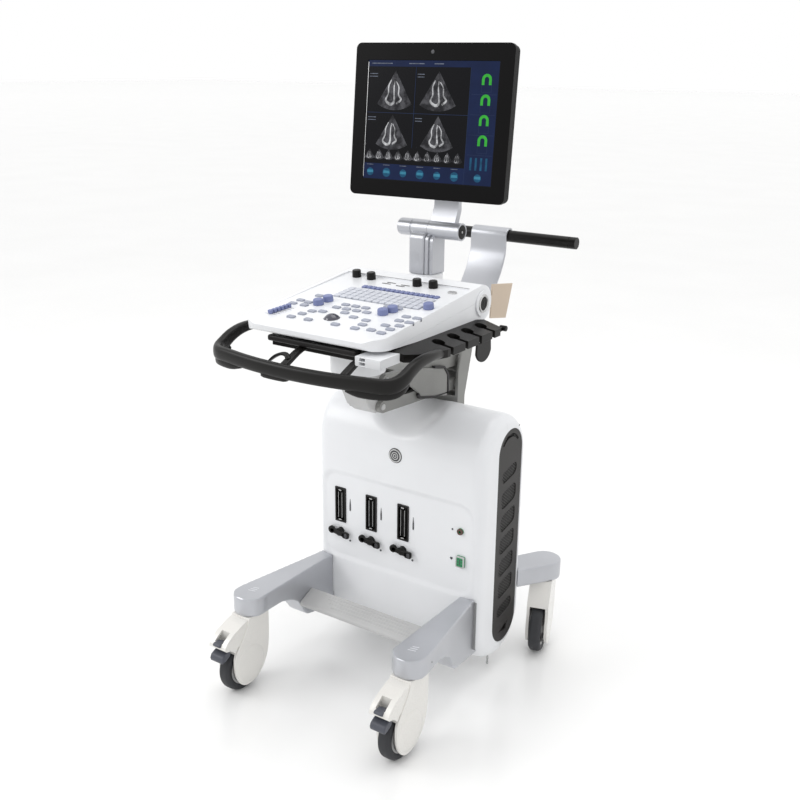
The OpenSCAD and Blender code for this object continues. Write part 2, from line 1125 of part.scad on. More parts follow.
module monitor_back() {
    color([0.12, 0.12, 0.13])
        monitor_frame() {
            difference() {
                translate([0, 30, 0])
                    rotate([90, 0, 0])
                        linear_extrude(17.7)
                            rounded(mon_w - 4, mon_h - 4, 14);
                translate([0, 27, 0])
                    rotate([90, 0, 0])
                        linear_extrude(20)
                            rounded(mon_w - 12, mon_h - 12, 10);
            }
            difference() {
                for (s = [-1, 1])
                    span_x(s > 0 ? 25.4 : -34, s > 0 ? 34 : -25.4)
                        capsule2d(tilt_pin, 12, [40, -90], 16);
                rod_x(tilt_pin, 5 + fit, -50, 50);
                block([-50, 20, -130], [50, 28, -50]);
            }
        }
}

module lcd_panel() {
    color([0.2, 0.25, 0.35])
        monitor_frame()
            block([-screen_w / 2 - 5.5, 1.8, -screen_h / 2 - 5.5],
                  [screen_w / 2 + 5.5, 9, screen_h / 2 + 5.5]);
}

// ---------- pieces ----------

base_frame();
front_cover();
rear_cover();
vent_panels();
front_legs();
rear_legs();
footrest();
probe_sockets();
side_sockets();
power_supply();
board_cage();
cooling_fans();
earth_chain();
lift_yoke();
handle_bracket();
rear_handle();
lock_lever_1();
lock_lever_2();
lock_lever_3();
caster_fork_fl();
caster_fork_fr();
caster_fork_rl();
caster_fork_rr();
caster_wheel_fl();
caster_wheel_fr();
caster_wheel_rl();
caster_wheel_rr();
brake_pedal_left();
brake_pedal_right();
lower_link();
upper_link();
lift_head();
gas_spring_tube();
gas_spring_rod();
console_top();
console_base();
front_handle();
probe_tray();
rear_flap();
release_lever();
trackball();
function_keys();
letter_keys();
control_keys();
slide_pots();
power_button();
menu_knob_1();
menu_knob_2();
menu_knob_3();
menu_knob_4();
gain_knob_1();
gain_knob_2();
gain_knob_3();
gain_knob_4();
gain_knob_5();
monitor_arm();
monitor_neck();
monitor_bezel();
monitor_back();
lcd_panel();
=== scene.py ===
"""Looks of the cart-mounted ultrasound machine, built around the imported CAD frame."""
import json
from math import atan2, copysign, cos, degrees, hypot, pi, radians, sin, sqrt

import bmesh
import bpy
import numpy as np
from mathutils import Matrix, Vector


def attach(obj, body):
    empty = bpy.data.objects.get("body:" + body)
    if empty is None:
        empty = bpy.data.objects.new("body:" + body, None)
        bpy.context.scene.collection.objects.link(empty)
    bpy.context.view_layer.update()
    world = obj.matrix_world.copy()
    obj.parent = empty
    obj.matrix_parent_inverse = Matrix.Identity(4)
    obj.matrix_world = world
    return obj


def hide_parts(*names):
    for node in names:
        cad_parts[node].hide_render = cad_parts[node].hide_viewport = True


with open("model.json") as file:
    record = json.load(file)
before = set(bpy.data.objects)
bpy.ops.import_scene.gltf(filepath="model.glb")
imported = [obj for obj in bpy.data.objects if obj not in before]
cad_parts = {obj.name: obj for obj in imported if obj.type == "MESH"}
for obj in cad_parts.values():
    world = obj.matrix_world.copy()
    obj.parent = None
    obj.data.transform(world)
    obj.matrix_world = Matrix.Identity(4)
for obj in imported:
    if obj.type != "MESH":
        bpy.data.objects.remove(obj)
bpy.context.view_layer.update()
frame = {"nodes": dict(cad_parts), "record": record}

MM = 0.001
record = frame["record"]
BODY = {node: body for body, nodes in record["behaviour"]["bodies"].items() for node in nodes}
SLOT = {part["node"]: part["material_slot"] for part in record["subparts"]}

# Driving sizes of the machine, in millimetres, as in the part's source.
CAB_W, CAB_R, CAB_Y, CAB_FILLET = 488, 110, 82, 30
LOW_Z, HIGH_Z = 148, 568
FRONT_Y, REAR_Y = CAB_Y - CAB_R, CAB_Y + CAB_R
WALL = 3.5
SADDLE_R, SADDLE_Z, SADDLE_SLOPE, SADDLE_BLEND = 130, 745, 20, 11
ARC_STEPS, STRAIGHT_STEPS, SEAM_GAP = 96, 70, 0.15
SOCKET_X = (-171, -74.5, 22)
SOCKET_Z = (338, 433)
LEVER_Z, BADGE_Z = 311, 559
JACK, LEAD = (187, 407), (190, 329)
VENT_Y, VENT_R, VENT_Z = 105, 58, (130, 582)
CON_ORIGIN, CON_TILT = (0, 50, 946), 6
CON_W, DECK_W = 364, 38
TRAY_SLOPE, SHEET = 0.26, 5.2
MON_AT, MON_TILT, MON_TURN = (-8, 107, 1335), 5.8, 4.2
SCREEN_W, SCREEN_H = 338, 270
HINGE_Y, HINGE_Z = 147, 1084
WHEEL_R, TYRE_W, TRAIL = 62.5, 32, 46
FRONT_STEM, REAR_STEM, REAR_TURN = (234, -303), (268, 274), 16.5
CASTERS = ("fl", "fr", "rl", "rr")
AXIS = 0.01  # radius that stands for a point on a turning axis


# ---------- materials ----------

def new_material(name, color, rough, metallic):
    """A material with its shader and object coordinates."""
    mat = bpy.data.materials.new(name)
    mat.use_nodes = True
    mat.diffuse_color = (*color, 1)
    tree = mat.node_tree
    shader = tree.nodes["Principled BSDF"]
    shader.inputs["Metallic"].default_value = metallic
    shader.inputs["Roughness"].default_value = rough
    shader.inputs["Base Color"].default_value = (*color, 1)
    coords = tree.nodes.new("ShaderNodeTexCoord")
    return mat, tree, shader, coords


def noise(tree, coords, scale, detail=4.0, stretch=(1, 1, 1)):
    """Noise in the object's own coordinates."""
    mapping = tree.nodes.new("ShaderNodeMapping")
    mapping.inputs["Scale"].default_value = stretch
    tree.links.new(coords.outputs["Object"], mapping.inputs["Vector"])
    node = tree.nodes.new("ShaderNodeTexNoise")
    node.inputs["Scale"].default_value = scale
    node.inputs["Detail"].default_value = detail
    tree.links.new(mapping.outputs["Vector"], node.inputs["Vector"])
    return node.outputs["Fac"]


def ramp(tree, value, low, high, start=0.3, stop=0.7):
    """A colour between two tones, chosen by a value."""
    node = tree.nodes.new("ShaderNodeValToRGB")
    first, last = node.color_ramp.elements
    first.position, last.position = start, stop
    first.color, last.color = (*low, 1), (*high, 1)
    tree.links.new(value, node.inputs["Fac"])
    return node.outputs["Color"]


def spread(tree, value, low, high):
    """A value stretched onto the range from low to high."""
    node = tree.nodes.new("ShaderNodeMapRange")
    node.inputs["To Min"].default_value = low
    node.inputs["To Max"].default_value = high
    tree.links.new(value, node.inputs["Value"])
    return node.outputs["Result"]


def material(name, color, rough, metallic=0.0, grain=900.0, bump=0.08, tint=0.05,
             rough_spread=0.08, blotch=7.0, coat=0.0, stretch=(1, 1, 1), specular=0.5):
    """Moulded or painted surface: blotchy tint, fine grain, uneven gloss."""
    mat, tree, shader, coords = new_material(name, color, rough, metallic)
    blotches = noise(tree, coords, blotch)
    fine = noise(tree, coords, grain, 2.0, stretch)
    low = [c * (1 - tint) for c in color]
    high = [min(1.0, c * (1 + tint)) for c in color]
    tree.links.new(ramp(tree, blotches, low, high), shader.inputs["Base Color"])
    tree.links.new(spread(tree, fine, rough - rough_spread, rough + rough_spread),
                   shader.inputs["Roughness"])
    relief = tree.nodes.new("ShaderNodeBump")
    relief.inputs["Strength"].default_value = bump
    relief.inputs["Distance"].default_value = 0.0004
    tree.links.new(fine, relief.inputs["Height"])
    tree.links.new(relief.outputs["Normal"], shader.inputs["Normal"])
    shader.inputs["Specular IOR Level"].default_value = specular
    shader.inputs["Coat Weight"].default_value = coat
    shader.inputs["Coat Roughness"].default_value = 0.15
    return mat


def glow_material(name, color, strength, scale=30.0, contrast=0.25):
    """A lit area of the display, slightly uneven."""
    mat, tree, shader, coords = new_material(name, color, 0.25, 0.0)
    low = [c * (1 - contrast) for c in color]
    tint = ramp(tree, noise(tree, coords, scale), low, color)
    tree.links.new(tint, shader.inputs["Emission Color"])
    shader.inputs["Emission Strength"].default_value = strength
    shader.inputs["Specular IOR Level"].default_value = 0.12
    shader.inputs["Base Color"].default_value = (0.002, 0.002, 0.003, 1)
    return mat


def scan_material(name, dark, bright, low, high):
    """Grey speckle of an ultrasound sector, mottled between two tones."""
    mat, tree, shader, coords = new_material(name, (0.002, 0.002, 0.003), 0.3, 0.0)
    mix = tree.nodes.new("ShaderNodeMath")
    mix.operation = "MULTIPLY"
    clouds = ramp(tree, noise(tree, coords, 60, 4.0), (0.25, 0.25, 0.25), (1.0, 1.0, 1.0), low, high)
    tree.links.new(clouds, mix.inputs[0])
    tree.links.new(noise(tree, coords, 520, 3.0), mix.inputs[1])
    tint = ramp(tree, mix.outputs["Value"], dark, bright, 0.05, 0.6)
    tree.links.new(tint, shader.inputs["Emission Color"])
    shader.inputs["Emission Strength"].default_value = 0.9
    shader.inputs["Specular IOR Level"].default_value = 0.12
    return mat


MAT = {
    "cover": material("cover_white", (0.80, 0.81, 0.83), 0.34, bump=0.05, tint=0.015, coat=0.2),
    "silver": material("silver_paint", (0.50, 0.51, 0.54), 0.34, 0.75, grain=2200, bump=0.10,
                       tint=0.06, coat=0.25),
    "cast": material("cast_grey", (0.27, 0.27, 0.26), 0.5, 0.45, grain=700, bump=0.25, tint=0.09),
    "hood": material("hood_ivory", (0.78, 0.765, 0.73), 0.28, bump=0.04, tint=0.02, coat=0.4),
    "light_grey": material("step_grey", (0.50, 0.50, 0.50), 0.5, grain=1100, bump=0.12),
    "dark_grey": material("dark_plastic", (0.012, 0.011, 0.011), 0.45, grain=1300, bump=0.15,
                          tint=0.10, specular=0.22),
    "black": material("black_plastic", (0.006, 0.0055, 0.005), 0.34, grain=1500, bump=0.12,
                      tint=0.15, specular=0.24),
    "tyre": material("tyre_rubber", (0.035, 0.036, 0.040), 0.6, grain=1000, bump=0.3, tint=0.12,
                     specular=0.35),
    "pedal": material("pedal_slate", (0.075, 0.08, 0.10), 0.45, grain=1200, bump=0.15, tint=0.1),
    "steel": material("bright_steel", (0.55, 0.55, 0.55), 0.28, 0.95, grain=500, bump=0.08,
                      stretch=(1, 1, 12)),
    "dark_steel": material("dark_steel", (0.085, 0.085, 0.09), 0.34, 0.9, grain=500, bump=0.1),
    "inner_steel": material("inner_steel", (0.38, 0.38, 0.38), 0.5, 0.7, grain=600, bump=0.15),
    "board": material("board_green", (0.03, 0.16, 0.07), 0.45, grain=260, bump=0.4, tint=0.3),
    "keys_blue": material("keys_blue", (0.17, 0.20, 0.38), 0.42, grain=1600, bump=0.08),
    "keys_grey": material("keys_grey", (0.33, 0.35, 0.42), 0.42, grain=1600, bump=0.08),
    "keys_pale": material("keys_pale", (0.55, 0.57, 0.63), 0.32, grain=1600, bump=0.05, coat=0.2),
    "bezel": material("bezel_black", (0.0022, 0.002, 0.0022), 0.38, grain=1800, bump=0.05,
                      tint=0.15, specular=0.1),
    "screen": material("glass_dark", (0.003, 0.0035, 0.006), 0.2, grain=300, bump=0.01,
                       rough_spread=0.02, specular=0.2),
    "ecg": material("socket_green", (0.02, 0.27, 0.10), 0.35, grain=800, bump=0.1),
    "ball": material("ball_glass", (0.05, 0.05, 0.07), 0.12, grain=200, bump=0.01,
                     rough_spread=0.03, coat=0.6),
    "beige": material("flap_beige", (0.56, 0.46, 0.36), 0.5, grain=1200, bump=0.1),
    # Grey for printed marks, also used as painted shade in the lead socket's pin holes.
    "mark": material("print_and_hole_shade_grey", (0.05, 0.052, 0.06), 0.5, grain=900, bump=0.02),
    "seam": material("seam_dark", (0.03, 0.028, 0.03), 0.6, grain=900, bump=0.05),
    "pale": material("pale_deck", (0.74, 0.75, 0.78), 0.30, grain=1400, bump=0.04, tint=0.03),
    "mesh": material("vent_wire", (0.04, 0.039, 0.038), 0.35, grain=900, bump=0.1, specular=0.6),
    "vent": material("vent_panel_grey", (0.028, 0.026, 0.025), 0.45, grain=1300, bump=0.15,
                     tint=0.10, specular=0.3),
    "jack": material("jack_brown", (0.10, 0.055, 0.04), 0.4, grain=900, bump=0.05),
    "scan_tissue": scan_material("scan_tissue", (0.003, 0.003, 0.004), (0.10, 0.10, 0.11), 0.4, 0.62),
    "scan_wall": scan_material("scan_wall", (0.03, 0.03, 0.032), (0.75, 0.76, 0.78), 0.35, 0.6),
    "screen_navy": glow_material("screen_navy", (0.006, 0.016, 0.065), 0.9),
    "screen_black": glow_material("screen_black", (0.0012, 0.0014, 0.002), 0.6),
    "screen_line": glow_material("screen_line", (0.02, 0.035, 0.09), 0.9),
    "screen_green": glow_material("screen_green", (0.05, 0.50, 0.05), 0.9, 120),
    "screen_teal": glow_material("screen_teal", (0.015, 0.11, 0.22), 0.9, 90, 0.5),
    "screen_cyan": glow_material("screen_cyan", (0.05, 0.26, 0.40), 0.9, 90),
    "screen_pale": glow_material("screen_pale", (0.22, 0.25, 0.32), 0.8, 200, 0.6),
}


# ---------- mesh helpers ----------

def add(name, data):
    """A new object in the scene."""
    obj = bpy.data.objects.new(name, data)
    bpy.context.scene.collection.objects.link(obj)
    return obj


def link(name, mesh, look, body, replaced=()):
    """Makes a visible piece of a mesh and ties it to its body."""
    obj = add(name, mesh)
    mesh.materials.clear()
    mesh.materials.append(MAT[look])
    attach(obj, body)
    if replaced:
        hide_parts(*replaced)
    return obj


def shade(mesh, angle=32):
    """Smooth shading with crisp edges kept."""
    for poly in mesh.polygons:
        poly.use_smooth = True
    mesh.set_sharp_from_angle(angle=radians(angle))


def bake(obj, smooth=32):
    """Applies the modifiers of an object, with flat faces kept flat."""
    shade(obj.data, smooth)
    even = obj.modifiers.new("even", "WEIGHTED_NORMAL")
    even.keep_sharp = True
    graph = bpy.context.evaluated_depsgraph_get()
    mesh = bpy.data.meshes.new_from_object(obj.evaluated_get(graph))
    old = obj.data
    obj.modifiers.clear()
    obj.data = mesh
    bpy.data.meshes.remove(old)
    return obj


def round_off(obj, width, segments=3, edges=35, smooth=32):
    """Rounds the edges that are sharper than an angle."""
    mod = obj.modifiers.new("bevel", "BEVEL")
    mod.width = width * MM
    mod.segments = segments
    mod.limit_method = "ANGLE"
    mod.angle_limit = radians(edges)
    mod.miter_outer = "MITER_ARC"
    return bake(obj, smooth)


def piece(name, mesh, look, body, replaced=(), width=0, segments=3, edges=35, smooth=32):
    """A finished piece, with its edges rounded where a width is given."""
    obj = link(name, mesh, look, body, replaced)
    if width:
        return round_off(obj, width, segments, edges, smooth)
    shade(obj.data, smooth)
    return obj


def mesh_from(verts, faces, name="shape"):
    mesh = bpy.data.meshes.new(name)
    mesh.from_pydata([tuple(v) for v in verts], [], faces)
    mesh.validate()
    return mesh


def clean(mesh, angle=1.0):
    bm = bmesh.new()
    bm.from_mesh(mesh)
    bmesh.ops.remove_doubles(bm, verts=bm.verts, dist=2e-6)
    bmesh.ops.dissolve_limit(bm, angle_limit=radians(angle), verts=bm.verts, edges=bm.edges)
    bmesh.ops.recalc_face_normals(bm, faces=bm.faces)
    bm.to_mesh(mesh)
    bm.free()


def copy_node(node):
    """The mesh of a CAD node, in the shared frame."""
    source = frame["nodes"][node]
    mesh = source.data.copy()
    mesh.transform(source.matrix_world)
    return mesh


def soften(node, width, look=None):
    """A rounded copy of a CAD node, which stands for it."""
    mesh = copy_node(node)
    clean(mesh)
    slot = SLOT[node]
    piece("soft_" + node, mesh, look or slot, BODY[node], (node,), width)


def prism(points, thickness, transform):
    """An outline in (x, y), extruded along z from 0, then placed."""
    count = len(points)
    verts = [transform @ Vector((x, y, z)) for z in (0, thickness) for x, y in points]
    faces = [list(range(count))[::-1], list(range(count, 2 * count))]
    for i in range(count):
        j = (i + 1) % count
        faces.append([i, j, count + j, count + i])
    area = sum(points[i - 1][0] * points[i][1] - points[i][0] * points[i - 1][1] for i in range(count))
    if area * transform.determinant() < 0:
        faces = [face[::-1] for face in faces]
    return mesh_from([v * MM for v in verts], faces)


def arc(center, radius, start, stop, steps):
    """Points of an arc in degrees."""
    angles = [radians(start + (stop - start) * i / steps) for i in range(steps + 1)]
    return [(center[0] + radius * cos(a), center[1] + radius * sin(a)) for a in angles]


def rounded_rect(w, h, r, steps=5, center=(0, 0)):
    cx, cy = center
    points = []
    for sx, sy, start in ((1, 1, 0), (-1, 1, 90), (-1, -1, 180), (1, -1, 270)):
        corner = (cx + sx * (w / 2 - r), cy + sy * (h / 2 - r))
        points += arc(corner, r, start, start + 90, steps)
    return points


def pill(p, q, r, steps=8):
    """Outline around the line from p to q."""
    heading = degrees(atan2(q[1] - p[1], q[0] - p[0]))
    return arc(q, r, heading - 90, heading + 90, steps) + arc(p, r, heading + 90, heading + 270, steps)


def stroke(points, widths):
    """A band that follows a curve with a changing width."""
    left, right = [], []
    for i, (x, z) in enumerate(points):
        a, b = points[max(i - 1, 0)], points[min(i + 1, len(points) - 1)]
        d = hypot(b[0] - a[0], b[1] - a[1])
        nx, nz = -(b[1] - a[1]) / d * widths[i] / 2, (b[0] - a[0]) / d * widths[i] / 2
        left.append((x + nx, z + nz))
        right.append((x - nx, z - nz))
    return left + right[::-1]


def rod(radius, low, high, steps, transform):
    """A plain cylinder about the local z axis."""
    return lathe([(AXIS, low), (radius, low), (radius, high), (AXIS, high)], steps, transform)


def lathe(profile, steps, transform, closed=False):
    """Turns (radius, height) points about the local z axis."""
    count = len(profile)
    verts = []
    for i in range(steps):
        a = 2 * pi * i / steps
        verts += [transform @ Vector((r * cos(a), r * sin(a), h)) * MM for r, h in profile]
    faces = []
    last = count if closed else count - 1
    for i in range(steps):
        j = (i + 1) % steps
        for k in range(last):
            n = (k + 1) % count
            faces.append([i * count + k, j * count + k, j * count + n, i * count + n])
    mesh = mesh_from(verts, faces)
    clean(mesh, 0.01)
    return mesh


def sweep(path, sections):
    """Skins closed sections placed along a path of (point, side, up) frames."""
    count = len(sections[0])
    verts = []
    for (point, side, up), section in zip(path, sections):
        verts += [(Vector(point) + Vector(side) * a + Vector(up) * b) * MM for a, b in section]
    rings = len(path)
    faces = [list(range(count))[::-1], list(range((rings - 1) * count, rings * count))]
    for i in range(rings - 1):
        for k in range(count):
            n = (k + 1) % count
            faces.append([i * count + k, i * count + n, (i + 1) * count + n, (i + 1) * count + k])
    mesh = mesh_from(verts, faces)
    clean(mesh, 0.01)
    return mesh


def superellipse(w, h, power=2.6, steps=24):
    points = []
    for i in range(steps):
        a = 2 * pi * i / steps
        c, s = cos(a), sin(a)
        points.append((w / 2 * copysign(abs(c) ** (2 / power), c),
                       h / 2 * copysign(abs(s) ** (2 / power), s)))
    return points


def join_meshes(meshes):
    bm = bmesh.new()
    for mesh in meshes:
        bm.from_mesh(mesh)
    joined = bpy.data.meshes.new("joined")
    bm.to_mesh(joined)
    bm.free()
    return joined


def cut(obj, meshes, overlap=False):
    """Cuts closed meshes out of an object; overlap says that the cutters cross each other."""
    cutter = add("cutter", join_meshes(meshes))
    mod = obj.modifiers.new("cut", "BOOLEAN")
    mod.operation = "DIFFERENCE"
    mod.solver = "EXACT"
    mod.use_self = overlap
    mod.object = cutter
    bake(obj)
    bpy.data.objects.remove(cutter)
    return obj


def box_mesh(low, high):
    w, d, h = (high[i] - low[i] for i in range(3))
    return prism([(0, 0), (w, 0), (w, d), (0, d)], h, Matrix.Translation(low))


SWAP_YZ = Matrix(((1, 0, 0, 0), (0, 0, 1, 0), (0, 1, 0, 0), (0, 0, 0, 1)))
SIDEWAYS = Matrix(((0, 0, 1, 0), (1, 0, 0, 0), (0, 1, 0, 0), (0, 0, 0, 1)))


def facing_front(x, y, z):
    """Outline (x, y) -> (X, Z) on a plane facing -Y; extrudes towards +Y."""
    return Matrix.Translation((x, y, z)) @ SWAP_YZ


def facing_side(x, sign=1):
    """Outline (y, z) on a plane facing sideways; extrudes inwards."""
    return Matrix.Translation((x, 0, 0)) @ Matrix.Diagonal((-sign, 1, 1, 1)) @ SIDEWAYS


def slab(outline, x0, x1, base=Matrix.Identity(4)):
    """Outline (y, z) extruded along x from x0 to x1."""
    return prism(outline, x1 - x0, base @ (Matrix.Translation((x0, 0, 0)) @ SIDEWAYS))


def turned(angle, axis):
    """A turn by an angle in degrees."""
    return Matrix.Rotation(radians(angle), 4, axis)


CONSOLE = Matrix.Translation(CON_ORIGIN) @ turned(CON_TILT, "X")
MONITOR = (Matrix.Translation(MON_AT) @ turned(MON_TURN, "Z")
           @ turned(-MON_TILT, "X"))


# ---------- cabinet ----------

def stadium_path():
    """Centre line and outward direction round the cabinet's side view, from the top seam."""
    half, arc_turn = ARC_STEPS // 2, 180 / ARC_STEPS
    fall = [HIGH_Z + (LOW_Z - HIGH_Z) * i / STRAIGHT_STEPS for i in range(STRAIGHT_STEPS)]
    rise = [LOW_Z + (HIGH_Z - LOW_Z) * i / STRAIGHT_STEPS for i in range(STRAIGHT_STEPS)]
    points = [(HIGH_Z, 90 + arc_turn * i) for i in range(half)]
    points += [(z, 180) for z in fall]
    points += [(LOW_Z, 180 + arc_turn * i) for i in range(ARC_STEPS)]
    points += [(z, 360) for z in rise]
    return points + [(HIGH_Z, 360 + arc_turn * i) for i in range(half)]


def cabinet_distance(p):
    """Signed distance to the rounded cabinet block."""
    z = np.clip(p[:, 2], LOW_Z, HIGH_Z)
    ring = np.hypot(p[:, 1] - CAB_Y, p[:, 2] - z) - CAB_R + CAB_FILLET
    side = np.abs(p[:, 0]) - CAB_W / 2 + CAB_FILLET
    outside = np.hypot(np.maximum(ring, 0), np.maximum(side, 0))
    return outside + np.minimum(np.maximum(ring, side), 0) - CAB_FILLET


def saddle_distance(p):
    """How deep a point is inside the cylinder that hollows the top."""
    slope = radians(SADDLE_SLOPE)
    along = np.array([0, cos(slope), sin(slope)])
    rel = p - np.array([0, FRONT_Y, SADDLE_Z])
    axial = rel @ along
    return SADDLE_R - np.linalg.norm(rel - np.outer(axial, along), axis=1)


def smooth_max(a, b, k):
    h = np.maximum(k - np.abs(a - b), 0) / k
    return np.maximum(a, b) + h * h * k / 4


def smooth_step(t):
    t = np.clip(t, 0, 1)
    return t * t * (3 - 2 * t)


def panel_depth(p):
    """The connector field sinks a little below the front, with a soft step."""
    half_w, top, bottom, r = 226, 478, 236, 42
    cz, half_h = (top + bottom) / 2, (top - bottom) / 2
    qx = np.abs(p[:, 0]) - half_w + r
    qz = np.abs(p[:, 2] - cz) - half_h + r
    edge = np.hypot(np.maximum(qx, 0), np.maximum(qz, 0)) + np.minimum(np.maximum(qx, qz), 0) - r
    sunk = smooth_step(-edge / 8)
    front = smooth_step((FRONT_Y + 8 - p[:, 1]) / 8)
    return 4.5 * sunk * front


def skin_section():
    """Points across the skin, as (radius, x), from the left side face to the right one."""
    half = CAB_W / 2 - CAB_FILLET
    face = [(r, -CAB_W / 2) for r in (18, 50, CAB_R - CAB_FILLET - 6)]
    edge = [(CAB_R - CAB_FILLET + CAB_FILLET * sin(a), -(half + CAB_FILLET * cos(a)))
            for a in np.linspace(0, pi / 2, 9)]
    middle = [(CAB_R, x) for x in np.linspace(-half, half, 73)[1:-1]]
    return face + edge + middle + [(r, -x) for r, x in edge[::-1]] + [(r, -x) for r, x in face[::-1]]


def cabinet_surface():
    """Grid over the whole cabinet skin, pulled in where the saddle and panel are."""
    path, across = stadium_path(), skin_section()
    base, inward = [], []
    for z, angle in path:
        a = radians(angle)
        out = np.array([0, cos(a), sin(a)])
        for radius, x in across:
            base.append(np.array([x, CAB_Y, z]) + out * radius)
            lean = max(0.0, (radius - CAB_R + CAB_FILLET) / CAB_FILLET)
            flank = sqrt(max(0.0, 1 - min(lean, 1) ** 2))
            inward.append(-out * lean - np.array([copysign(flank, x), 0, 0]) * (flank > 0.02))
    base, inward = np.array(base), np.array(inward)
    inward /= np.linalg.norm(inward, axis=1)[:, None]
    p = base.copy()
    for _ in range(60):
        reach = smooth_max(cabinet_distance(p), saddle_distance(p), SADDLE_BLEND)
        p += inward * np.maximum(reach, 0)[:, None]
    p += inward * panel_depth(p)[:, None]
    return p, len(path), len(across)


def cover_mesh(points, rings, count, front):
    """The half of the skin on one side of the seam at the cabinet's mid-plane."""
    half_front = ARC_STEPS + STRAIGHT_STEPS
    span = range(half_front) if front else range(half_front, rings)
    ends = list(span) + [(span[-1] + 1) % rings]
    faces = []
    for i, j in zip(ends, ends[1:]):
        for k in range(count - 1):
            faces.append([i * count + k, j * count + k, j * count + k + 1, i * count + k + 1])
    faces.append([i * count for i in ends][::-1])
    faces.append([i * count + count - 1 for i in ends])
    used = sorted({v for f in faces for v in f})
    index = {v: n for n, v in enumerate(used)}
    shift = np.array([0, -SEAM_GAP if front else SEAM_GAP, 0])
    verts = [(points[v] + shift * (abs(points[v][1] - CAB_Y) < 0.5)) * MM for v in used]
    mesh = mesh_from(verts, [[index[v] for v in f] for f in faces], "cover")
    bm = bmesh.new()
    bm.from_mesh(mesh)
    bmesh.ops.recalc_face_normals(bm, faces=bm.faces)
    center = Vector((0, CAB_Y * MM, (LOW_Z + HIGH_Z) / 2 * MM))
    probe = max(bm.faces, key=lambda f: f.calc_center_median().x)
    if probe.normal.dot(probe.calc_center_median() - center) < 0:
        bmesh.ops.reverse_faces(bm, faces=bm.faces)
    bm.to_mesh(mesh)
    bm.free()
    return mesh


def vent_outline(margin, steps=24):
    """The vent panel's outline on the cabinet's side, grown by a margin."""
    return pill((VENT_Y, VENT_Z[0]), (VENT_Y, VENT_Z[1]), VENT_R + margin, steps)


def vent_cutters():
    return [prism(vent_outline(0.4), 14, facing_side(s * (CAB_W / 2 + 6), s)) for s in (1, -1)]


def build_covers():
    """The two halves of the cabinet's shell, with their openings."""
    points, rings, count = cabinet_surface()
    front_y, back_y = FRONT_Y - 6, REAR_Y - 16
    socket_h, socket_mid = SOCKET_Z[1] - SOCKET_Z[0], sum(SOCKET_Z) / 2
    front_cuts = vent_cutters()
    for x in SOCKET_X:
        front_cuts.append(prism(rounded_rect(33.6, socket_h + 0.6, 2.5), 20,
                                facing_front(x, front_y, socket_mid)))
        front_cuts.append(rod(11.3, 0, 20, 32, facing_front(x, front_y, LEVER_Z)))
    front_cuts.append(rod(8.3, 0, 20, 32, facing_front(JACK[0], front_y, JACK[1])))
    front_cuts.append(prism(rounded_rect(22.6, 28.6, 2), 20, facing_front(LEAD[0], front_y, LEAD[1])))
    rear_cuts = vent_cutters()
    rear_cuts.append(box_mesh((-62.5, 156, 560), (62.5, REAR_Y + 20, 700)))
    rear_cuts.append(prism(rounded_rect(49, 29, 3), 30, facing_front(-126, back_y, 184)))
    for x in (-90, 90):
        for i in range(-3, 4):
            rear_cuts.append(prism(rounded_rect(72, 6, 2.9), 30, facing_front(x, back_y, 420 + i * 12)))
    rear_cuts.append(rod(3.3, 0, 20, 24, facing_front(-60, REAR_Y - 10, 184)))
    for name, front, cuts in (("front_cover", True, front_cuts), ("rear_cover", False, rear_cuts)):
        skin = link("skin_" + name, cover_mesh(points, rings, count, front), "cover", "chassis",
                    replaced=(name,))
        shell = skin.modifiers.new("shell", "SOLIDIFY")
        shell.thickness = WALL * MM
        shell.offset = -1
        bake(skin)
        cut(skin, cuts)


def slanted_slot(z, half_w, half_h, shear, r):
    """Rounded slot whose ends lean, as (y, z) points."""
    points = rounded_rect(2 * half_w, 2 * half_h, r, 6)
    return [(VENT_Y + y, z + h + shear * y / half_w) for y, h in points]


def vent_bars(sign):
    """Two crossing layers of slanted bars behind the slots of one side."""
    bars = []
    for n in range(-4, 67):
        foot = 92 + n * 8.0
        for lean, depth in ((34, 3.0), (-34, 3.6)):
            z0, z1 = foot - lean, foot + lean
            near, far = VENT_Y - 46, VENT_Y + 46
            line = [(near, z0 - 0.9), (far, z1 - 0.9), (far, z1 + 0.9), (near, z0 + 0.9)]
            if min(z0, z1) > 84 and max(z0, z1) < 640:
                bars.append(prism(line, 1.0, facing_side(sign * (CAB_W / 2 - depth), sign)))
    return join_meshes(bars)


def build_vents():
    """Dark side panels with slanted slots over a diamond mesh, and a black sheet behind as painted shade of
    the cabinet's inside.
    """
    for s, side in ((1, "right"), (-1, "left")):
        face = facing_side(s * (CAB_W / 2 - 1.2), s)
        panel = link("vent_panel_" + side, prism(vent_outline(-0.3), 5, face),
                     "vent", "chassis", ("vent_panels",))
        crescent = arc((VENT_Y, 584), 44, 30, 150, 14) + arc((VENT_Y, 575), 44, 140, 40, 12)
        wedge = [(VENT_Y - 22, 100), (VENT_Y + 24, 118), (VENT_Y + 14, 96)]
        slots = [slanted_slot(165 + i * 60.5, 35, 15 if i in (0, 6) else 21.5, 7, 14) for i in range(7)]
        through = facing_side(s * (CAB_W / 2 + 4), s)
        cut(panel, [prism(outline, 20, through) for outline in slots + [crescent, wedge]])
        round_off(panel, 0.9, 2)
        piece("vent_mesh_" + side, vent_bars(s), "mesh", "chassis")
        # A black sheet behind the mesh: painted shade of the cabinet's inside, seen through the slots.
        behind = facing_side(s * (CAB_W / 2 - 6.4), s)
        piece("vent_painted_shade_sheet_" + side, prism(vent_outline(-4, 20), 1.2, behind), "black", "chassis",
              width=0.4, segments=2)


def on_front(x, z, proud):
    """A drawing plane on the cabinet's front; x and z are places, proud is its height."""
    return facing_front(x, FRONT_Y - proud, z)


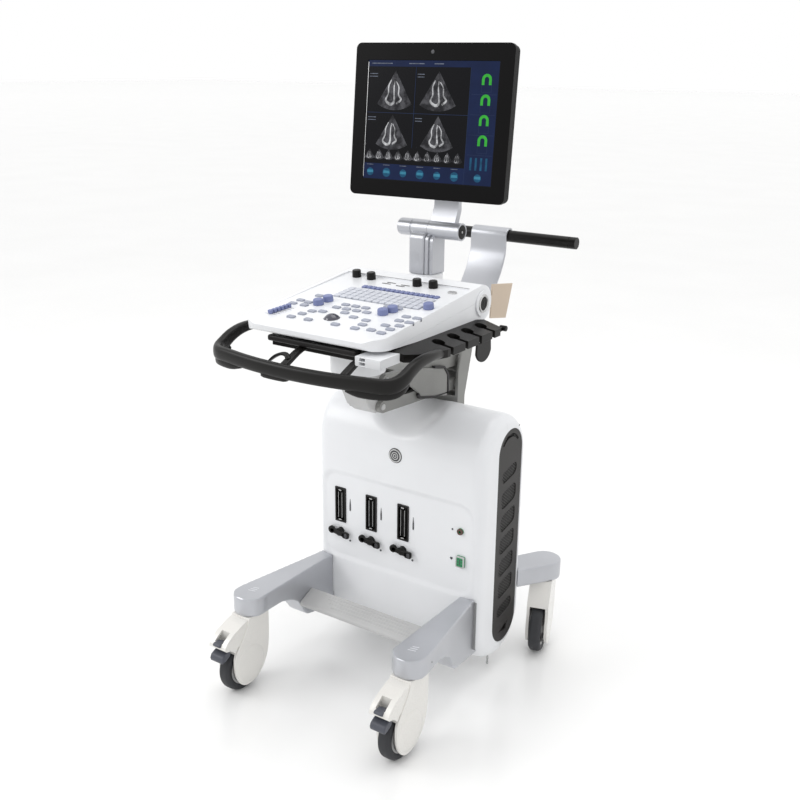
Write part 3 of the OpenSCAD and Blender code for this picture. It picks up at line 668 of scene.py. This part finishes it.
def build_levers():
    """Bone-shaped locking levers, with a metal tip."""
    for i, x in enumerate(SOCKET_X):
        node = "lock_lever_%d" % (i + 1)
        at = on_front(x, LEVER_Z, 9.5)
        parts = [prism(pill((-20, 2), (18, -3), 6.5, 8), 6, at),
                 prism(arc((-22, 2.5), 10, 0, 345, 23), 7.5, at),
                 prism(rounded_rect(20, 17, 5, center=(22, -3.5)), 6.8, at),
                 prism(arc((0, 0), 10.6, 0, 345, 23), 11, on_front(x, LEVER_Z, 7))]
        piece("lever_" + node, join_meshes(parts), "black", BODY[node], replaced=(node,), width=1.5)
        piece("lever_tip_%d" % (i + 1), prism(rounded_rect(9, 11, 2.5, center=(24, -3.5)), 1.4,
              on_front(x, LEVER_Z, 10.2)), "dark_steel", BODY[node], width=0.4, segments=2)


def out_of_front(x, z):
    """A turning axis that points out of the cabinet's front."""
    return facing_front(x, FRONT_Y, z) @ Matrix.Scale(-1, 4, (0, 0, 1))


def build_badge():
    """Blank round medallion of plain rings."""
    at = out_of_front(0, BADGE_Z)
    rim = [(13.4, 1.2), (14.2, 2.6), (16.4, 2.8), (17.2, 1.6), (17.4, 0), (13.4, 0)]
    plate = [(AXIS, 2.0), (5, 2.2), (6, 1.6), (8, 1.6), (9, 2.2), (12.6, 1.8), (13.6, 0.8), (AXIS, 0)]
    lip = [(17.2, -1), (17.2, 1.0), (18.8, 0.8), (19.0, -1)]
    bands = [lathe([(r, 0), (r, 2.9), (r + 1.8, 2.9), (r + 1.8, 0)], 48, at, closed=True) for r in (3, 8)]
    piece("badge_rim", lathe(rim, 48, at, closed=True), "steel", "chassis")
    piece("badge_plate", lathe(plate, 48, at), "dark_steel", "chassis")
    piece("badge_rings", join_meshes(bands), "steel", "chassis")
    piece("badge_lip", lathe(lip, 48, at, closed=True), "seam", "chassis")


def build_sockets():
    """Connector contacts, the lead socket, the jack, small printed marks and painted shade in the lead
    socket's pin holes.
    """
    contacts, marks_and_hole_shade = [], []

    def mark(outline, x, z):
        marks_and_hole_shade.append(prism(outline, 1.0, on_front(x, z, -3.6)))

    for x in SOCKET_X:
        for dx in (-5.5, 5.5):
            contacts.append(prism(rounded_rect(0.9, 70, 0.4), 1.0, on_front(x + dx, 385, -1.5)))
        for z in (345, 426):
            contacts.append(prism(rounded_rect(9, 2.2, 1), 1.0, on_front(x, z, -0.5)))
        mark([(-1.9, -14), (1.9, -14), (1.9, 2), (0, 20), (-1.9, 2)], x + 30, 389)
        mark(rounded_rect(5, 5, 2), x + 29, 291)
    mark(rounded_rect(4, 5, 1.8), 164, 407)
    mark([(0, -4.5), (4, 0.5), (2, 3.5), (0, 2), (-2, 3.5), (-4, 0.5)], 163, 330)
    # Dark patches on the lead socket's insert are painted shade of its pin holes and key slot; the other
    # marks are print.
    holes = [rounded_rect(3.4, 2.6, 0.8, center=(u, v)) for u in (-4.5, 4.5) for v in (-7, 0, 7)]
    marks_and_hole_shade.extend(prism(hole, 0.8, on_front(*LEAD, 2.3)) for hole in holes + [rounded_rect(2, 16, 0.8)])
    piece("socket_contacts", join_meshes(contacts), "steel", "chassis")
    piece("front_marks_and_hole_shade", join_meshes(marks_and_hole_shade), "mark", "chassis")
    rim = link("lead_socket_frame", prism(rounded_rect(22.8, 28.8, 2), 4, on_front(*LEAD, 2.8)), "steel",
               "chassis")
    cut(rim, [prism(rounded_rect(17.5, 23.5, 1.5), 9, on_front(*LEAD, 4))])
    piece("lead_socket_insert", prism(rounded_rect(17.4, 23.4, 1.5), 4, on_front(*LEAD, 2.0)), "ecg",
          "chassis", width=0.6, segments=2)
    ring = [(3.3, -2), (3.3, 1.6), (5, 2.2), (7.4, 1.8), (8.1, 0.4), (8.1, -2)]
    piece("jack_ring", lathe(ring, 40, out_of_front(*JACK), closed=True), "jack", "chassis")


# ---------- running gear ----------

def wheel_frame(key):
    """Centre of a wheel with z along its axle."""
    hub = Matrix.Translation((0, -TRAIL, WHEEL_R)) @ turned(90, "Y")
    return caster_frame(key) @ hub


def build_wheels():
    """Tyres with round shoulders on dished rims."""
    half = TYRE_W / 2
    tread = [(45, -half + 3), (50, -half + 0.5), (56, -half)]
    tread += [(WHEEL_R - 9 + 9 * cos(a), -half + 9 + 9 * sin(a)) for a in np.linspace(-1.3, 0, 6)]
    hub = [(5.1, -half + 1), (12, -half + 1), (14, -half + 3), (18, -half + 8), (36, -half + 8),
           (40, -half + 3), (45.4, -half + 2.5)]
    tyre, rim = (side + [(r, -h) for r, h in side[::-1]] for side in (tread, hub))
    for key in CASTERS:
        at, node = wheel_frame(key), "caster_wheel_" + key
        piece("tyre_" + key, lathe(tyre, 96, at, closed=True), "tyre", BODY[node], replaced=(node,),
              smooth=50)
        piece("rim_" + key, lathe(rim, 64, at, closed=True), "light_grey", BODY[node])


def build_leg_marks():
    """Raised ticks on the front pads, dark plugs on their flanks and flanges at the cabinet."""
    stem_x, stem_y = FRONT_STEM
    ticks, plugs, flanges = [], [], []
    plug = [(AXIS, -1.0), (3, -1.0), (3.4, 1.2), (5.6, 1.6), (6.2, 0), (6.2, -2), (AXIS, -2)]
    for s in (-1, 1):
        x = s * stem_x
        for i in range(3):
            y = stem_y + 4 + i * 8
            ticks.append(prism(pill((x - 9 + i, y - 2), (x + 8 - i, y + 2), 1.0, 5), 0.9,
                               Matrix.Translation((0, 0, 239.5))))
        plugs.append(lathe(plug, 24, Matrix.Translation((x + 33, stem_y + 28, 213)) @ turned(62, "Z")
                           @ turned(90, "Y")))
        flanges.append(box_mesh((s * 222 - 17.9, FRONT_Y - 0.9, 106), (s * 222 + 17.9, FRONT_Y - 0.1, 235)))
    piece("leg_ticks", join_meshes(ticks), "pale", "chassis")
    piece("leg_plugs", join_meshes(plugs), "seam", "chassis")
    piece("leg_gaskets", join_meshes(flanges), "inner_steel", "chassis", width=0.5, segments=2)


def build_footrest():
    """Sloping plank with four shallow grooves that stop short of its ends."""
    outline = [(-120, 183), (-164, 163.5), (-167.4, 160), (-167.8, 155), (-166, 151), (-162, 149.5),
               (-120, 168)]
    plank = piece("step_plank", slab(outline, -193.6, 193.6), "light_grey", "chassis",
                  replaced=("footrest",), width=1.2, edges=40)
    grooves = []
    for i in range(4):
        y = -128 - i * 9
        z = 183 + (y + 120) * 0.443
        grooves.append(slab(arc((y, z + 0.9), 2.1, 0, 337.5, 15), -140 + i * 12, 112 + i * 14))
    cut(plank, grooves)


def caster_frame(key):
    """Frame of a caster: the stem at the origin, heading -Y."""
    sx = 1 if key[1] == "r" else -1
    x, y = FRONT_STEM if key[0] == "f" else REAR_STEM
    turn = 0 if key[0] == "f" else REAR_TURN * sx
    return Matrix.Translation((sx * x, y, 0)) @ turned(turn, "Z")


def build_hoods():
    """Teardrop hoods over the wheels; the front ones have domed side discs, the rear ones open fronts."""
    back = [(31, 191.5), (31, 150), (30, 120), (28, 98), (24, 78), (17, 59), (6, 41), (-9, 27), (-27, 19)]
    full_front = [(-46, 16.5), (-62, 20), (-76, 31), (-86, 48), (-91, 68), (-92, 92), (-89, 112),
                  (-76, 130), (-60, 150), (-44, 176), (-40, 191.5)]
    open_front = [(-44, 17), (-60, 25), (-71, 39), (-76, 57), (-76, 77), (-72, 96), (-69, 112), (-70, 124),
                  (-68, 136), (-60, 152), (-46, 176), (-40, 191.5)]
    dome = [(AXIS, 2.6), (16, 2.5), (32, 1.9), (43, 1.0), (48, 0.2), (50, -2), (AXIS, -2)]
    neck = [(AXIS, 226), (7, 226), (8, 224), (8, 193), (25, 193), (27, 191), (27, 186), (AXIS, 186)]
    for key in CASTERS:
        at, node = caster_frame(key), "caster_fork_" + key
        body, is_rear = BODY[node], key[0] == "r"
        sides = [point[:2] for point in smooth_route(back + (open_front if is_rear else full_front), 3)]
        hood = link("hood_" + key, slab(sides, -28, 28, at), "hood", body, replaced=(node,))
        clear = slab(arc((-TRAIL, WHEEL_R), 66.5, 0, 352.5, 47), -20.5, 20.5, at)
        below = slab([(-130, -10), (40, -10), (40, 50), (-130, 50)], -20.3, 20.3, at)
        nose = slab([(-130, -10), (-50, -10), (-50, 128), (-130, 128)], -20.4, 20.4, at)
        cut(hood, [clear, below] + [nose] * is_rear, True)
        round_off(hood, 6, 4, 50, smooth=45)
        discs = []
        for side in () if is_rear else (-1, 1):
            face = Matrix.Translation((side * 28, -40, 71)) @ turned(90 * side, "Y")
            discs.append(lathe(dome, 56, at @ face))
        piece("hood_discs_" + key, join_meshes(discs + [lathe(neck, 48, at)]), "hood", body, smooth=50)
        piece("axle_" + key, rod(5, -24, 24, 24, wheel_frame(key)), "steel", body)


def build_fenders():
    """The brake fenders on the front hoods, each with a window for the brake tab."""
    outline = [(-30, 190), (-60, 184), (-92, 172), (-112, 160), (-121, 150), (-123, 143), (-118, 138),
               (-104, 134), (-96, 128), (-88, 120), (-78, 132), (-50, 140)]
    for s, key in ((-1, "fl"), (1, "fr")):
        at = caster_frame(key)
        body = BODY["caster_fork_" + key]
        shell = link("fender_" + key, slab(outline, -25.5, 25.5, at), "hood", body)
        inner = [(-94, 164), (-114, 152), (-117, 145), (-126, 128), (-128, 112), (-84, 108), (-82, 130)]
        window = [(-90, 200), (-90, 150), (-112, 140), (-116, 148), (-116, 200)]
        cut(shell, [slab(inner, -20.5, 20.5, at), slab(window, -12.5, 12.5, at)], True)
        round_off(shell, 2.5, 3, 40)
        node = "brake_pedal_left" if s < 0 else "brake_pedal_right"
        upper = [(-92, 148), (-106, 156), (-124, 156), (-128, 150), (-122, 146), (-104, 142), (-94, 138)]
        lower = [(-96, 132), (-112, 130), (-125, 124), (-129, 115), (-127, 107), (-115, 109), (-100, 117)]
        tabs = [slab(upper, -11, 11, at), slab(lower, -19.5, 19.5, at)]
        piece("brake_tabs_" + key, join_meshes(tabs), "pedal", BODY[node],
              replaced=(node,), width=2.4, edges=30)


# ---------- lift ----------

def build_lift_cover():
    """Cast side plates of the lift arm, with a dark gasket round the yoke end."""
    plate = [(122, 682), (121, 738), (104, 758), (60, 768), (0, 782), (-52, 795), (-62, 788),
             (-58, 760), (-43, 748), (-7, 722), (0, 711)]
    gasket = [(127, 692), (126, 740), (106, 763), (60, 773), (60, 768), (104, 757), (120, 736), (121, 692),
              (60, 698), (0, 712), (-7, 722), (-10, 718), (-4, 707), (60, 692)]
    plates = [slab(plate, x, x + 6) for x in (-51.5, 45.5)]
    seals = [slab(gasket, x, x + 8.5) for x in (-53.5, 45)]
    piece("lift_side_plates", join_meshes(plates), "cast", "lower_link_body", width=2.4)
    piece("lift_gaskets", join_meshes(seals), "seam", "lower_link_body", width=0.8, segments=2)


# ---------- column behind the console ----------

def build_arm():
    """Monitor arm: a slab that rolls into the hinge, with two steps on its flank."""
    def rolled(front, top):
        shoulder = arc((front + 16, top - 16), 16, 180, 96, 8)
        return [(front, 977)] + shoulder + [(168, top), (179, top - 14), (179, 977)]

    steps = ((115, 1077, -63, -21.6, 3.2), (119.5, 1074, -22, -11.6, 1.4), (124, 1071, -12, -1, 1.4))
    for i, (front, top, x0, x1, r) in enumerate(steps):
        piece("arm_step_%d" % i, slab(rolled(front, top), x0, x1), "silver", "monitor_arm_body",
              replaced=("monitor_arm",) if i == 0 else (), width=r)
    lines = [(-108, -104, 19), (-104, -70, 20.6), (-70, -67, 19.8), (-67, -20.4, 21)]
    profile = [(AXIS, -108), (16, -108)]
    for x0, x1, r in lines:
        profile += [(r - 0.6, x0 + 0.2), (r, x0 + 0.8), (r, x1 - 0.8), (r - 0.6, x1 - 0.2)]
    profile += [(AXIS, -20.4)]
    axle = Matrix.Translation((0, HINGE_Y, HINGE_Z)) @ turned(90, "Y")
    piece("hinge_barrel", lathe(profile, 64, axle), "silver", "monitor_arm_body")
    cap = [(AXIS, 65.6), (5, 65.6), (6, 66.4), (16, 66.4), (19, 65.2), (19.6, 63), (19.6, 60), (AXIS, 60)]
    piece("hinge_cap", lathe(cap, 48, axle), "dark_grey", "monitor_neck_body")
    star = []
    for i in range(10):
        a = radians(36 * i)
        r = 4.6 if i % 2 == 0 else 2.2
        star.append((r * cos(a), r * sin(a)))
    piece("hinge_star", prism(star, 1.2, axle @ Matrix.Translation((0, 0, 65.7))), "steel",
          "monitor_neck_body")


def build_bracket():
    """Rear handle bracket: a sheet that rolls round the bar and sweeps down to the yoke."""
    line = arc((418, 1039), 18.4, 50, 180, 12)
    line += [(399.6, 1024), (399.6, 1008), (397, 992), (389, 972), (376, 948), (357, 922), (332, 895),
             (300, 865), (264, 838), (236, 806), (227, 792)]
    sheet = stroke(line, [SHEET] * len(line))
    piece("bracket_sheet", slab(sheet, -56, 49), "silver", BODY["handle_bracket"],
          replaced=("handle_bracket",), width=1.6, edges=50, smooth=40)


# ---------- console ----------

def tube_frames(route):
    """Path frames (point, sideways, up) along a route of points."""
    frames = []
    for i, point in enumerate(route):
        before, after = route[max(i - 1, 0)], route[min(i + 1, len(route) - 1)]
        along = (Vector(after[:3]) - Vector(before[:3])).normalized()
        side = along.cross(Vector((0, 0, 1))).normalized()
        frames.append((point[:3], side, side.cross(along).normalized()))
    return frames


def smooth_route(points, steps=4):
    """Catmull-Rom curve through points of any number of values."""
    out = []
    for i in range(len(points) - 1):
        p0, p1, p2, p3 = (points[min(max(k, 0), len(points) - 1)] for k in (i - 1, i, i + 1, i + 2))
        for n in range(steps):
            t = n / steps
            out.append(tuple(0.5 * (2 * b + (c - a) * t + (2 * a - 5 * b + 4 * c - d) * t * t
                                    + (3 * b - a - 3 * c + d) * t ** 3)
                             for a, b, c, d in zip(p0, p1, p2, p3)))
    return out + [tuple(points[-1])]


def tube(points, power, sides, steps):
    """A soft-cornered bar along a curve of (x, y, z, width, height) points."""
    path = smooth_route(points, steps)
    return sweep(tube_frames(path), [superellipse(w, h, power, sides) for *_, w, h in path])


def mirrored(points):
    """The same route on the other side of the machine."""
    return [(-x, *rest) for x, *rest in points]


def build_bow():
    """The black bow handle, swept round the front of the console, with its pads and stays."""
    arm = [(228, -196, 891, 19, 18), (236, -245, 897, 20, 20), (239, -290, 896, 20, 24),
           (240, -325, 887, 21, 28), (239, -352, 874, 22, 31), (232, -376, 866, 22, 33),
           (214, -393, 865, 21, 32), (180, -402, 865.5, 20, 31), (120, -411, 864, 19.5, 31),
           (60, -416, 863, 19.5, 31), (0, -417.5, 862.5, 19.5, 31)]
    full = arm + mirrored(arm[-2::-1])
    piece("bow_handle", tube(full, 2.8, 28, 4), "black", "console", replaced=("front_handle",), smooth=60)
    corner = [(238, -338, 862, 14, 10), (236, -360, 852, 19, 18), (226, -380, 847, 20, 19),
              (205, -393, 846, 20, 18), (168, -401, 846, 19, 17), (140, -405, 849, 14, 9)]
    center = [(-70, -413, 849, 13, 8), (-64, -414, 847, 18, 13), (-12, -414, 847, 18, 13),
              (-6, -414, 849, 13, 8)]
    pads = [tube(points, 3.4, 20, 3) for points in (corner, center, mirrored(corner))]
    piece("bow_grips", join_meshes(pads), "black", "console", smooth=50)
    stays = [tube([(x, -300, 897, 18, 8), (x, -350, 893, 18, 9), (x, -392, 876, 18, 11),
                   (x, -408, 868, 18, 12)], 4, 20, 3) for x in (-22, 128)]
    stays.append(box_mesh((-117, -330, 884), (111, -204, 897)))
    stays.append(box_mesh((-225, -222, 884), (160, -204, 897)))
    piece("bow_stays", join_meshes(stays), "black", "console", width=1.5, edges=50)
    piece("bow_stay_feet", box_mesh((-112, -352, 899), (122, -330, 912)), "dark_grey", "console",
          width=4, segments=4, edges=50)
    ports = link("port_box", box_mesh((134, -370, 889), (196, -300, 909)), "cover", "console")
    cut(ports, [prism(rounded_rect(14, 6.5, 1.5), 30, facing_front(152, -378, z)) for z in (894.5, 903)])
    round_off(ports, 3.5, 3, 60)


def build_release_lever():
    """Curved finger lever behind the bow."""
    bar = tube([(-22, -389, 880, 12, 12), (-30, -386, 888, 11, 9), (-46, -382, 887, 12, 7),
                (-66, -380, 878, 12, 7), (-84, -380, 864, 9, 5)], 3, 20, 4)
    piece("finger_lever", bar, "black", BODY["release_lever"], replaced=("release_lever",), smooth=50)


def build_tray():
    """Probe tray beside the console: an apron, four keyhole holders and a hook disc."""
    outline = [(150, -300), (176, -306), (204, -300), (216, -276), (227, -250), (238, -203), (242, -192),
               (242, 32), (232, 46), (190, 46), (150, -60)]
    plate = link("tray_plate", prism(outline, 17, Matrix.Translation((0, 0, 883))), "black", "console",
                 replaced=("probe_tray",))
    holes = []
    for y in (-172, -112, -54, 4):
        holes.append(prism(rounded_rect(26, 30, 12), 30, Matrix.Translation((206, y, 889))))
        holes.append(prism(rounded_rect(46, 11, 4), 30, Matrix.Translation((230, y - 3, 870))))
    window = [(128, -320), (176, -320), (176, 70), (128, 70)]
    holes.append(prism(window, 30, Matrix.Translation((0, 0, 894))))
    cut(plate, holes, True)
    round_off(plate, 2.6, 4, 40)
    for vertex in plate.data.vertices:
        vertex.co.z += TRAY_SLOPE * max(0.0, 232 * MM - vertex.co.x)
    for name, side, x0, x1 in (
            ("hook", arc((-38, 872), 34, 200, 340, 24) + [(-8, 884), (-68, 884)], 236, 241),
            ("peg", arc((62, 893), 6.5, 0, 345, 23), 224, 241),
            ("peg_arm", [(36, 886), (62, 888), (62, 897), (36, 898)], 226, 234)):
        piece("tray_" + name, slab(side, x0, x1), "black", "console", width=1.5)


def build_deck_print():
    """Printed slots and the rear seam of the deck, without lettering."""
    above = CONSOLE @ Matrix.Translation((0, 0, DECK_W + 0.05))
    bars = [prism(rounded_rect(24, 3.4, 1.6, center=at), 0.5, above)
            for at in ((-33, -69), (-25, -59), (8, -72), (16, -63))]
    piece("deck_slots", join_meshes(bars), "seam", "console")
    seam = rounded_rect(CON_W - 24, 1.6, 0.7, center=(0, -33))
    piece("rear_seam", prism(seam, 0.6, CONSOLE @ Matrix.Translation((0, 0, 41.3))), "seam", "console")


def build_side_badges():
    """Blank medallions on the ends of the console's roll."""
    rim = [(15.5, 0.5), (16.5, 2.0), (20.5, 2.0), (21.5, 0.6), (21.5, -1), (15.5, -1)]
    plate = [(AXIS, 1.4), (4, 1.6), (5, 0.8), (8, 0.8), (9, 1.6), (14.6, 1.2), (15.6, 0), (AXIS, 0)]
    for s in (-1, 1):
        at = CONSOLE @ Matrix.Translation((s * (CON_W / 2 + 4), 0, 0)) @ turned(90 * s, "Y")
        piece("side_badge_rim_%d" % (s + 1), lathe(rim, 48, at, closed=True), "steel", "console")
        piece("side_badge_plate_%d" % (s + 1), lathe(plate, 48, at), "dark_grey", "console")


# ---------- monitor ----------

def on_screen(x, z, depth=0.0):
    """A drawing plane on the display, facing the operator; x and z from its centre."""
    return MONITOR @ Matrix.Translation((x, 1.1 - depth, z)) @ SWAP_YZ


def draw(name, tone, shapes, depth):
    """Flat lit shapes on the display."""
    meshes = [prism(points, 0.25, on_screen(0, 0, depth)) for points in shapes]
    return link("screen_" + name, join_meshes(meshes), tone, "monitor")


def rect(x0, x1, z0, z1):
    return [(x0, z0), (x1, z0), (x1, z1), (x0, z1)]


def chamber(cx, top, size, lean):
    """The bright walls of one heart view."""
    route = [(-10, -22, 2), (-17, -38, 3.5), (-16, -56, 3), (-22, -72, 5), (-8, -82, 7), (2, -76, 6),
             (1, -58, 4), (-1, -40, 3), (0, -24, 2)]
    other = [(4, -26, 2), (13, -40, 3), (14, -58, 3.5), (22, -70, 5), (10, -80, 5)]
    bands = []
    for points in (route, other):
        curve = smooth_route([(cx + (x + lean * z * 0.12) * size, top + z * size, w * size)
                              for x, z, w in points], 4)
        bands.append(stroke([c[:2] for c in curve], [c[2] for c in curve]))
    return bands


def build_ground():
    """Dark ground, navy bars and the thin lines that divide the display."""
    w, h, column = SCREEN_W / 2, SCREEN_H / 2, 100
    draw("ground", "screen_black", [rect(-w, w, -h, h)], 0)
    draw("bands", "screen_navy", [rect(-w, w, h - 14, h), rect(column, w, -h, h - 14),
                                  rect(-w, column, -h, -h + 36)], 0.3)
    lines = [rect(-w, column, 17, 18), rect(-41, -40, -60, h - 14), rect(column - 1, column, -h, h - 14)]
    for i in range(4):
        z = 96 - i * 44
        lines += [rect(104, w - 3, z - 33, z - 32), rect(128, 129, z - 28, z - 12),
                  rect(152, 153, z - 28, z - 12), rect(128, 153, z - 28, z - 27.2)]
    draw("lines", "screen_line", lines, 0.6)


def build_scans():
    """Four grey sectors with bright walls."""
    views = ((-94, 112, 0.92, 0.4), (20, 112, 0.92, -0.2), (-96, 14, 0.84, 0.8), (24, 14, 0.84, 0.1))
    draw("sectors", "scan_tissue", [[(cx, top)] + arc((cx, top), 96 * size, -122, -58, 16)
                                    for cx, top, size, _ in views], 0.6)
    draw("walls", "scan_wall", [wall for view in views for wall in chamber(*view)], 0.9)


def build_gauges():
    """Four round gauges and the level bars below them."""
    cx, gauges = 140, []
    for i in range(4):
        cz = 96 - i * 44
        gauges.append([(cx + 12, cz - 12)] + arc((cx, cz), 12, 0, 180, 14) + [(cx - 12, cz - 12)]
                      + [(cx - 5.5, cz - 12)] + arc((cx, cz), 5.5, 180, 0, 10) + [(cx + 5.5, cz - 12)])
    draw("gauges", "screen_green", gauges, 0.9)
    draw("meters", "screen_teal", [rect(112 + i * 13, 117 + i * 13, -102, -74) for i in range(4)], 0.6)


def build_film():
    """A strip of small sectors."""
    frames = [-154 + i * 26 for i in range(10)]
    draw("film", "scan_tissue", [[(x, -66)] + arc((x, -66), 24, -125, -55, 6) for x in frames], 0.6)
    draw("beats", "scan_wall", [wall for x in frames for wall in chamber(x, -66, 0.26, 0.5)], 0.9)


def build_soft_keys():
    """Round soft keys, and plain bars where captions stand."""
    h, keys = SCREEN_H / 2, [-150 + i * 45 for i in range(6)] + [134]
    draw("keys", "screen_teal", [arc((x, -119), 10.5 if i % 2 else 9, 0, 345, 23)
                                 for i, x in enumerate(keys)], 0.6)
    draw("glints", "screen_cyan", [rect(x - 8, x + 8, -121, -115) for x in keys], 0.9)
    texts = [rect(-160, -104, h - 8, h - 6), rect(-60, -20, h - 8, h - 6), rect(6, 30, h - 8, h - 6)]
    texts += [rect(x, x + width, z, z + 1.6)
              for x, width in ((-164, 22), (-36, 18)) for z in (104, 98, 6, 0)]
    texts += [rect(-160 + i * 45, -142 + i * 45, -103, -101.6) for i in range(6)]
    draw("texts", "screen_pale", texts, 0.7)


def build_screen_trim():
    """The lit edge of the glass and the round dot above it."""
    w, h = SCREEN_W / 2, SCREEN_H / 2
    piece("screen_edge", prism(rect(-w + 0.3, -w + 1.5, -h + 4, h - 4), 0.5, on_screen(0, 0, 1.8)),
          "steel", "monitor")
    dot = [(AXIS, 0.8), (3.6, 0.8), (4.6, 0), (AXIS, 0)]
    piece("bezel_dot", lathe(dot, 32, MONITOR @ Matrix.Translation((0, -1, h + 19)) @ turned(90, "X")),
          "dark_steel", "monitor")


# ---------- carried-over nodes, rounded ----------

ROUNDING = {
    "monitor_neck": 3, "rear_handle": 2.5, "lower_link": 2.5, "upper_link": 2.5,
    "gas_spring_tube": 1, "gas_spring_rod": 0.6, "rear_flap": 0.8,
    "monitor_bezel": 2.2,
    "monitor_back": 6, "probe_sockets": 0.6, "side_sockets": 0.8, "base_frame": 1,
    "power_supply": 1, "console_base": 2,
}


def melt(node, voxel, passes, look):
    """A CAD node with its edges softened all over, as on a casting."""
    mesh = copy_node(node)
    clean(mesh)
    cast = link("cast_" + node, mesh, look, BODY[node], (node,))
    remesh = cast.modifiers.new("remesh", "REMESH")
    remesh.mode = "VOXEL"
    remesh.voxel_size = voxel * MM
    relax = cast.modifiers.new("relax", "SMOOTH")
    relax.factor = 0.5
    relax.iterations = passes
    return bake(cast, 60)


def build_castings():
    """Legs and lift castings."""
    melt("front_legs", 3.0, 9, "silver")
    melt("rear_legs", 3.0, 9, "silver")
    melt("lift_yoke", 2.0, 5, "cast")
    melt("lift_head", 2.0, 5, "light_grey")


def build_rounded():
    """CAD nodes that are shown with rounded edges."""
    for node, width in ROUNDING.items():
        soften(node, width)
    for node in ("function_keys", "letter_keys", "control_keys", "power_button", "slide_pots"):
        soften(node, 0.9, "keys_pale" if node == "letter_keys" else None)
    top = link("soft_console_top", copy_node("console_top"), "cover", "console", replaced=("console_top",))
    bake(top, 25)
    for name, count in (("menu_knob_%d", 4), ("gain_knob_%d", 5)):
        for i in range(count):
            soften(name % (i + 1), 1.4)


def dress_rest():
    """Materials for the CAD nodes that are shown as they are."""
    for node, obj in frame["nodes"].items():
        obj.data.materials.clear()
        obj.data.materials.append(MAT[SLOT[node]])


# ---------- stage ----------

def build_stage():
    square = [(-60, -60, 0), (60, -60, 0), (60, 60, 0), (-60, 60, 0)]
    floor_mesh = mesh_from(square, [[0, 1, 2, 3]], "floor")
    floor = bpy.data.objects.new("floor", floor_mesh)
    bpy.context.scene.collection.objects.link(floor)
    floor_mesh.materials.append(material("floor_pale", (0.93, 0.93, 0.925), 0.2, grain=60, bump=0.01,
                                         tint=0.015, blotch=1.5, rough_spread=0.05))
    world = bpy.data.worlds.new("studio")
    world.use_nodes = True
    world.node_tree.nodes["Background"].inputs["Color"].default_value = (1.0, 1.0, 1.0, 1)
    world.node_tree.nodes["Background"].inputs["Strength"].default_value = 1.0
    bpy.context.scene.world = world
    bpy.context.scene.view_settings.view_transform = "Standard"
    lamps = (("key", (-2.4, -2.2, 2.6), 1.6, 34), ("top", (0.2, 0.4, 3.6), 2.0, 22))
    for name, place, size, power in lamps:
        data = bpy.data.lights.new(name, "AREA")
        data.energy = power
        data.size = size
        lamp = bpy.data.objects.new(name, data)
        lamp.location = place
        aim = Vector((0, 0, 0.7)) - Vector(place)
        lamp.rotation_euler = aim.to_track_quat("-Z", "Y").to_euler()
        bpy.context.scene.collection.objects.link(lamp)


def build_camera():
    azimuth, pitch, roll = (radians(a) for a in (34.14, 18.09, 0.55))
    forward = Vector((-sin(azimuth) * cos(pitch), cos(azimuth) * cos(pitch),
                      -sin(pitch)))
    right = Vector((cos(azimuth), sin(azimuth), 0))
    up = right.cross(forward)
    side = right * cos(roll) + up * sin(roll)
    top = up * cos(roll) - right * sin(roll)
    data = bpy.data.cameras.new("camera")
    data.sensor_width = 36
    data.lens = 46.58
    camera = bpy.data.objects.new("camera", data)
    place = Matrix((side, top, -forward)).transposed().to_4x4()
    place.translation = Vector((1.3223, -1.9604, 1.4657))
    camera.matrix_world = place
    bpy.context.scene.collection.objects.link(camera)
    bpy.context.scene.camera = camera


dress_rest()
build_stage()
build_camera()
build_rounded()
build_castings()
build_covers()
build_vents()
build_levers()
build_badge()
build_sockets()
build_wheels()
build_leg_marks()
build_footrest()
build_hoods()
build_fenders()
build_release_lever()
build_lift_cover()
build_arm()
build_bracket()
build_bow()
build_tray()
build_deck_print()
build_side_badges()
build_ground()
build_scans()
build_gauges()
build_film()
build_soft_keys()
build_screen_trim()
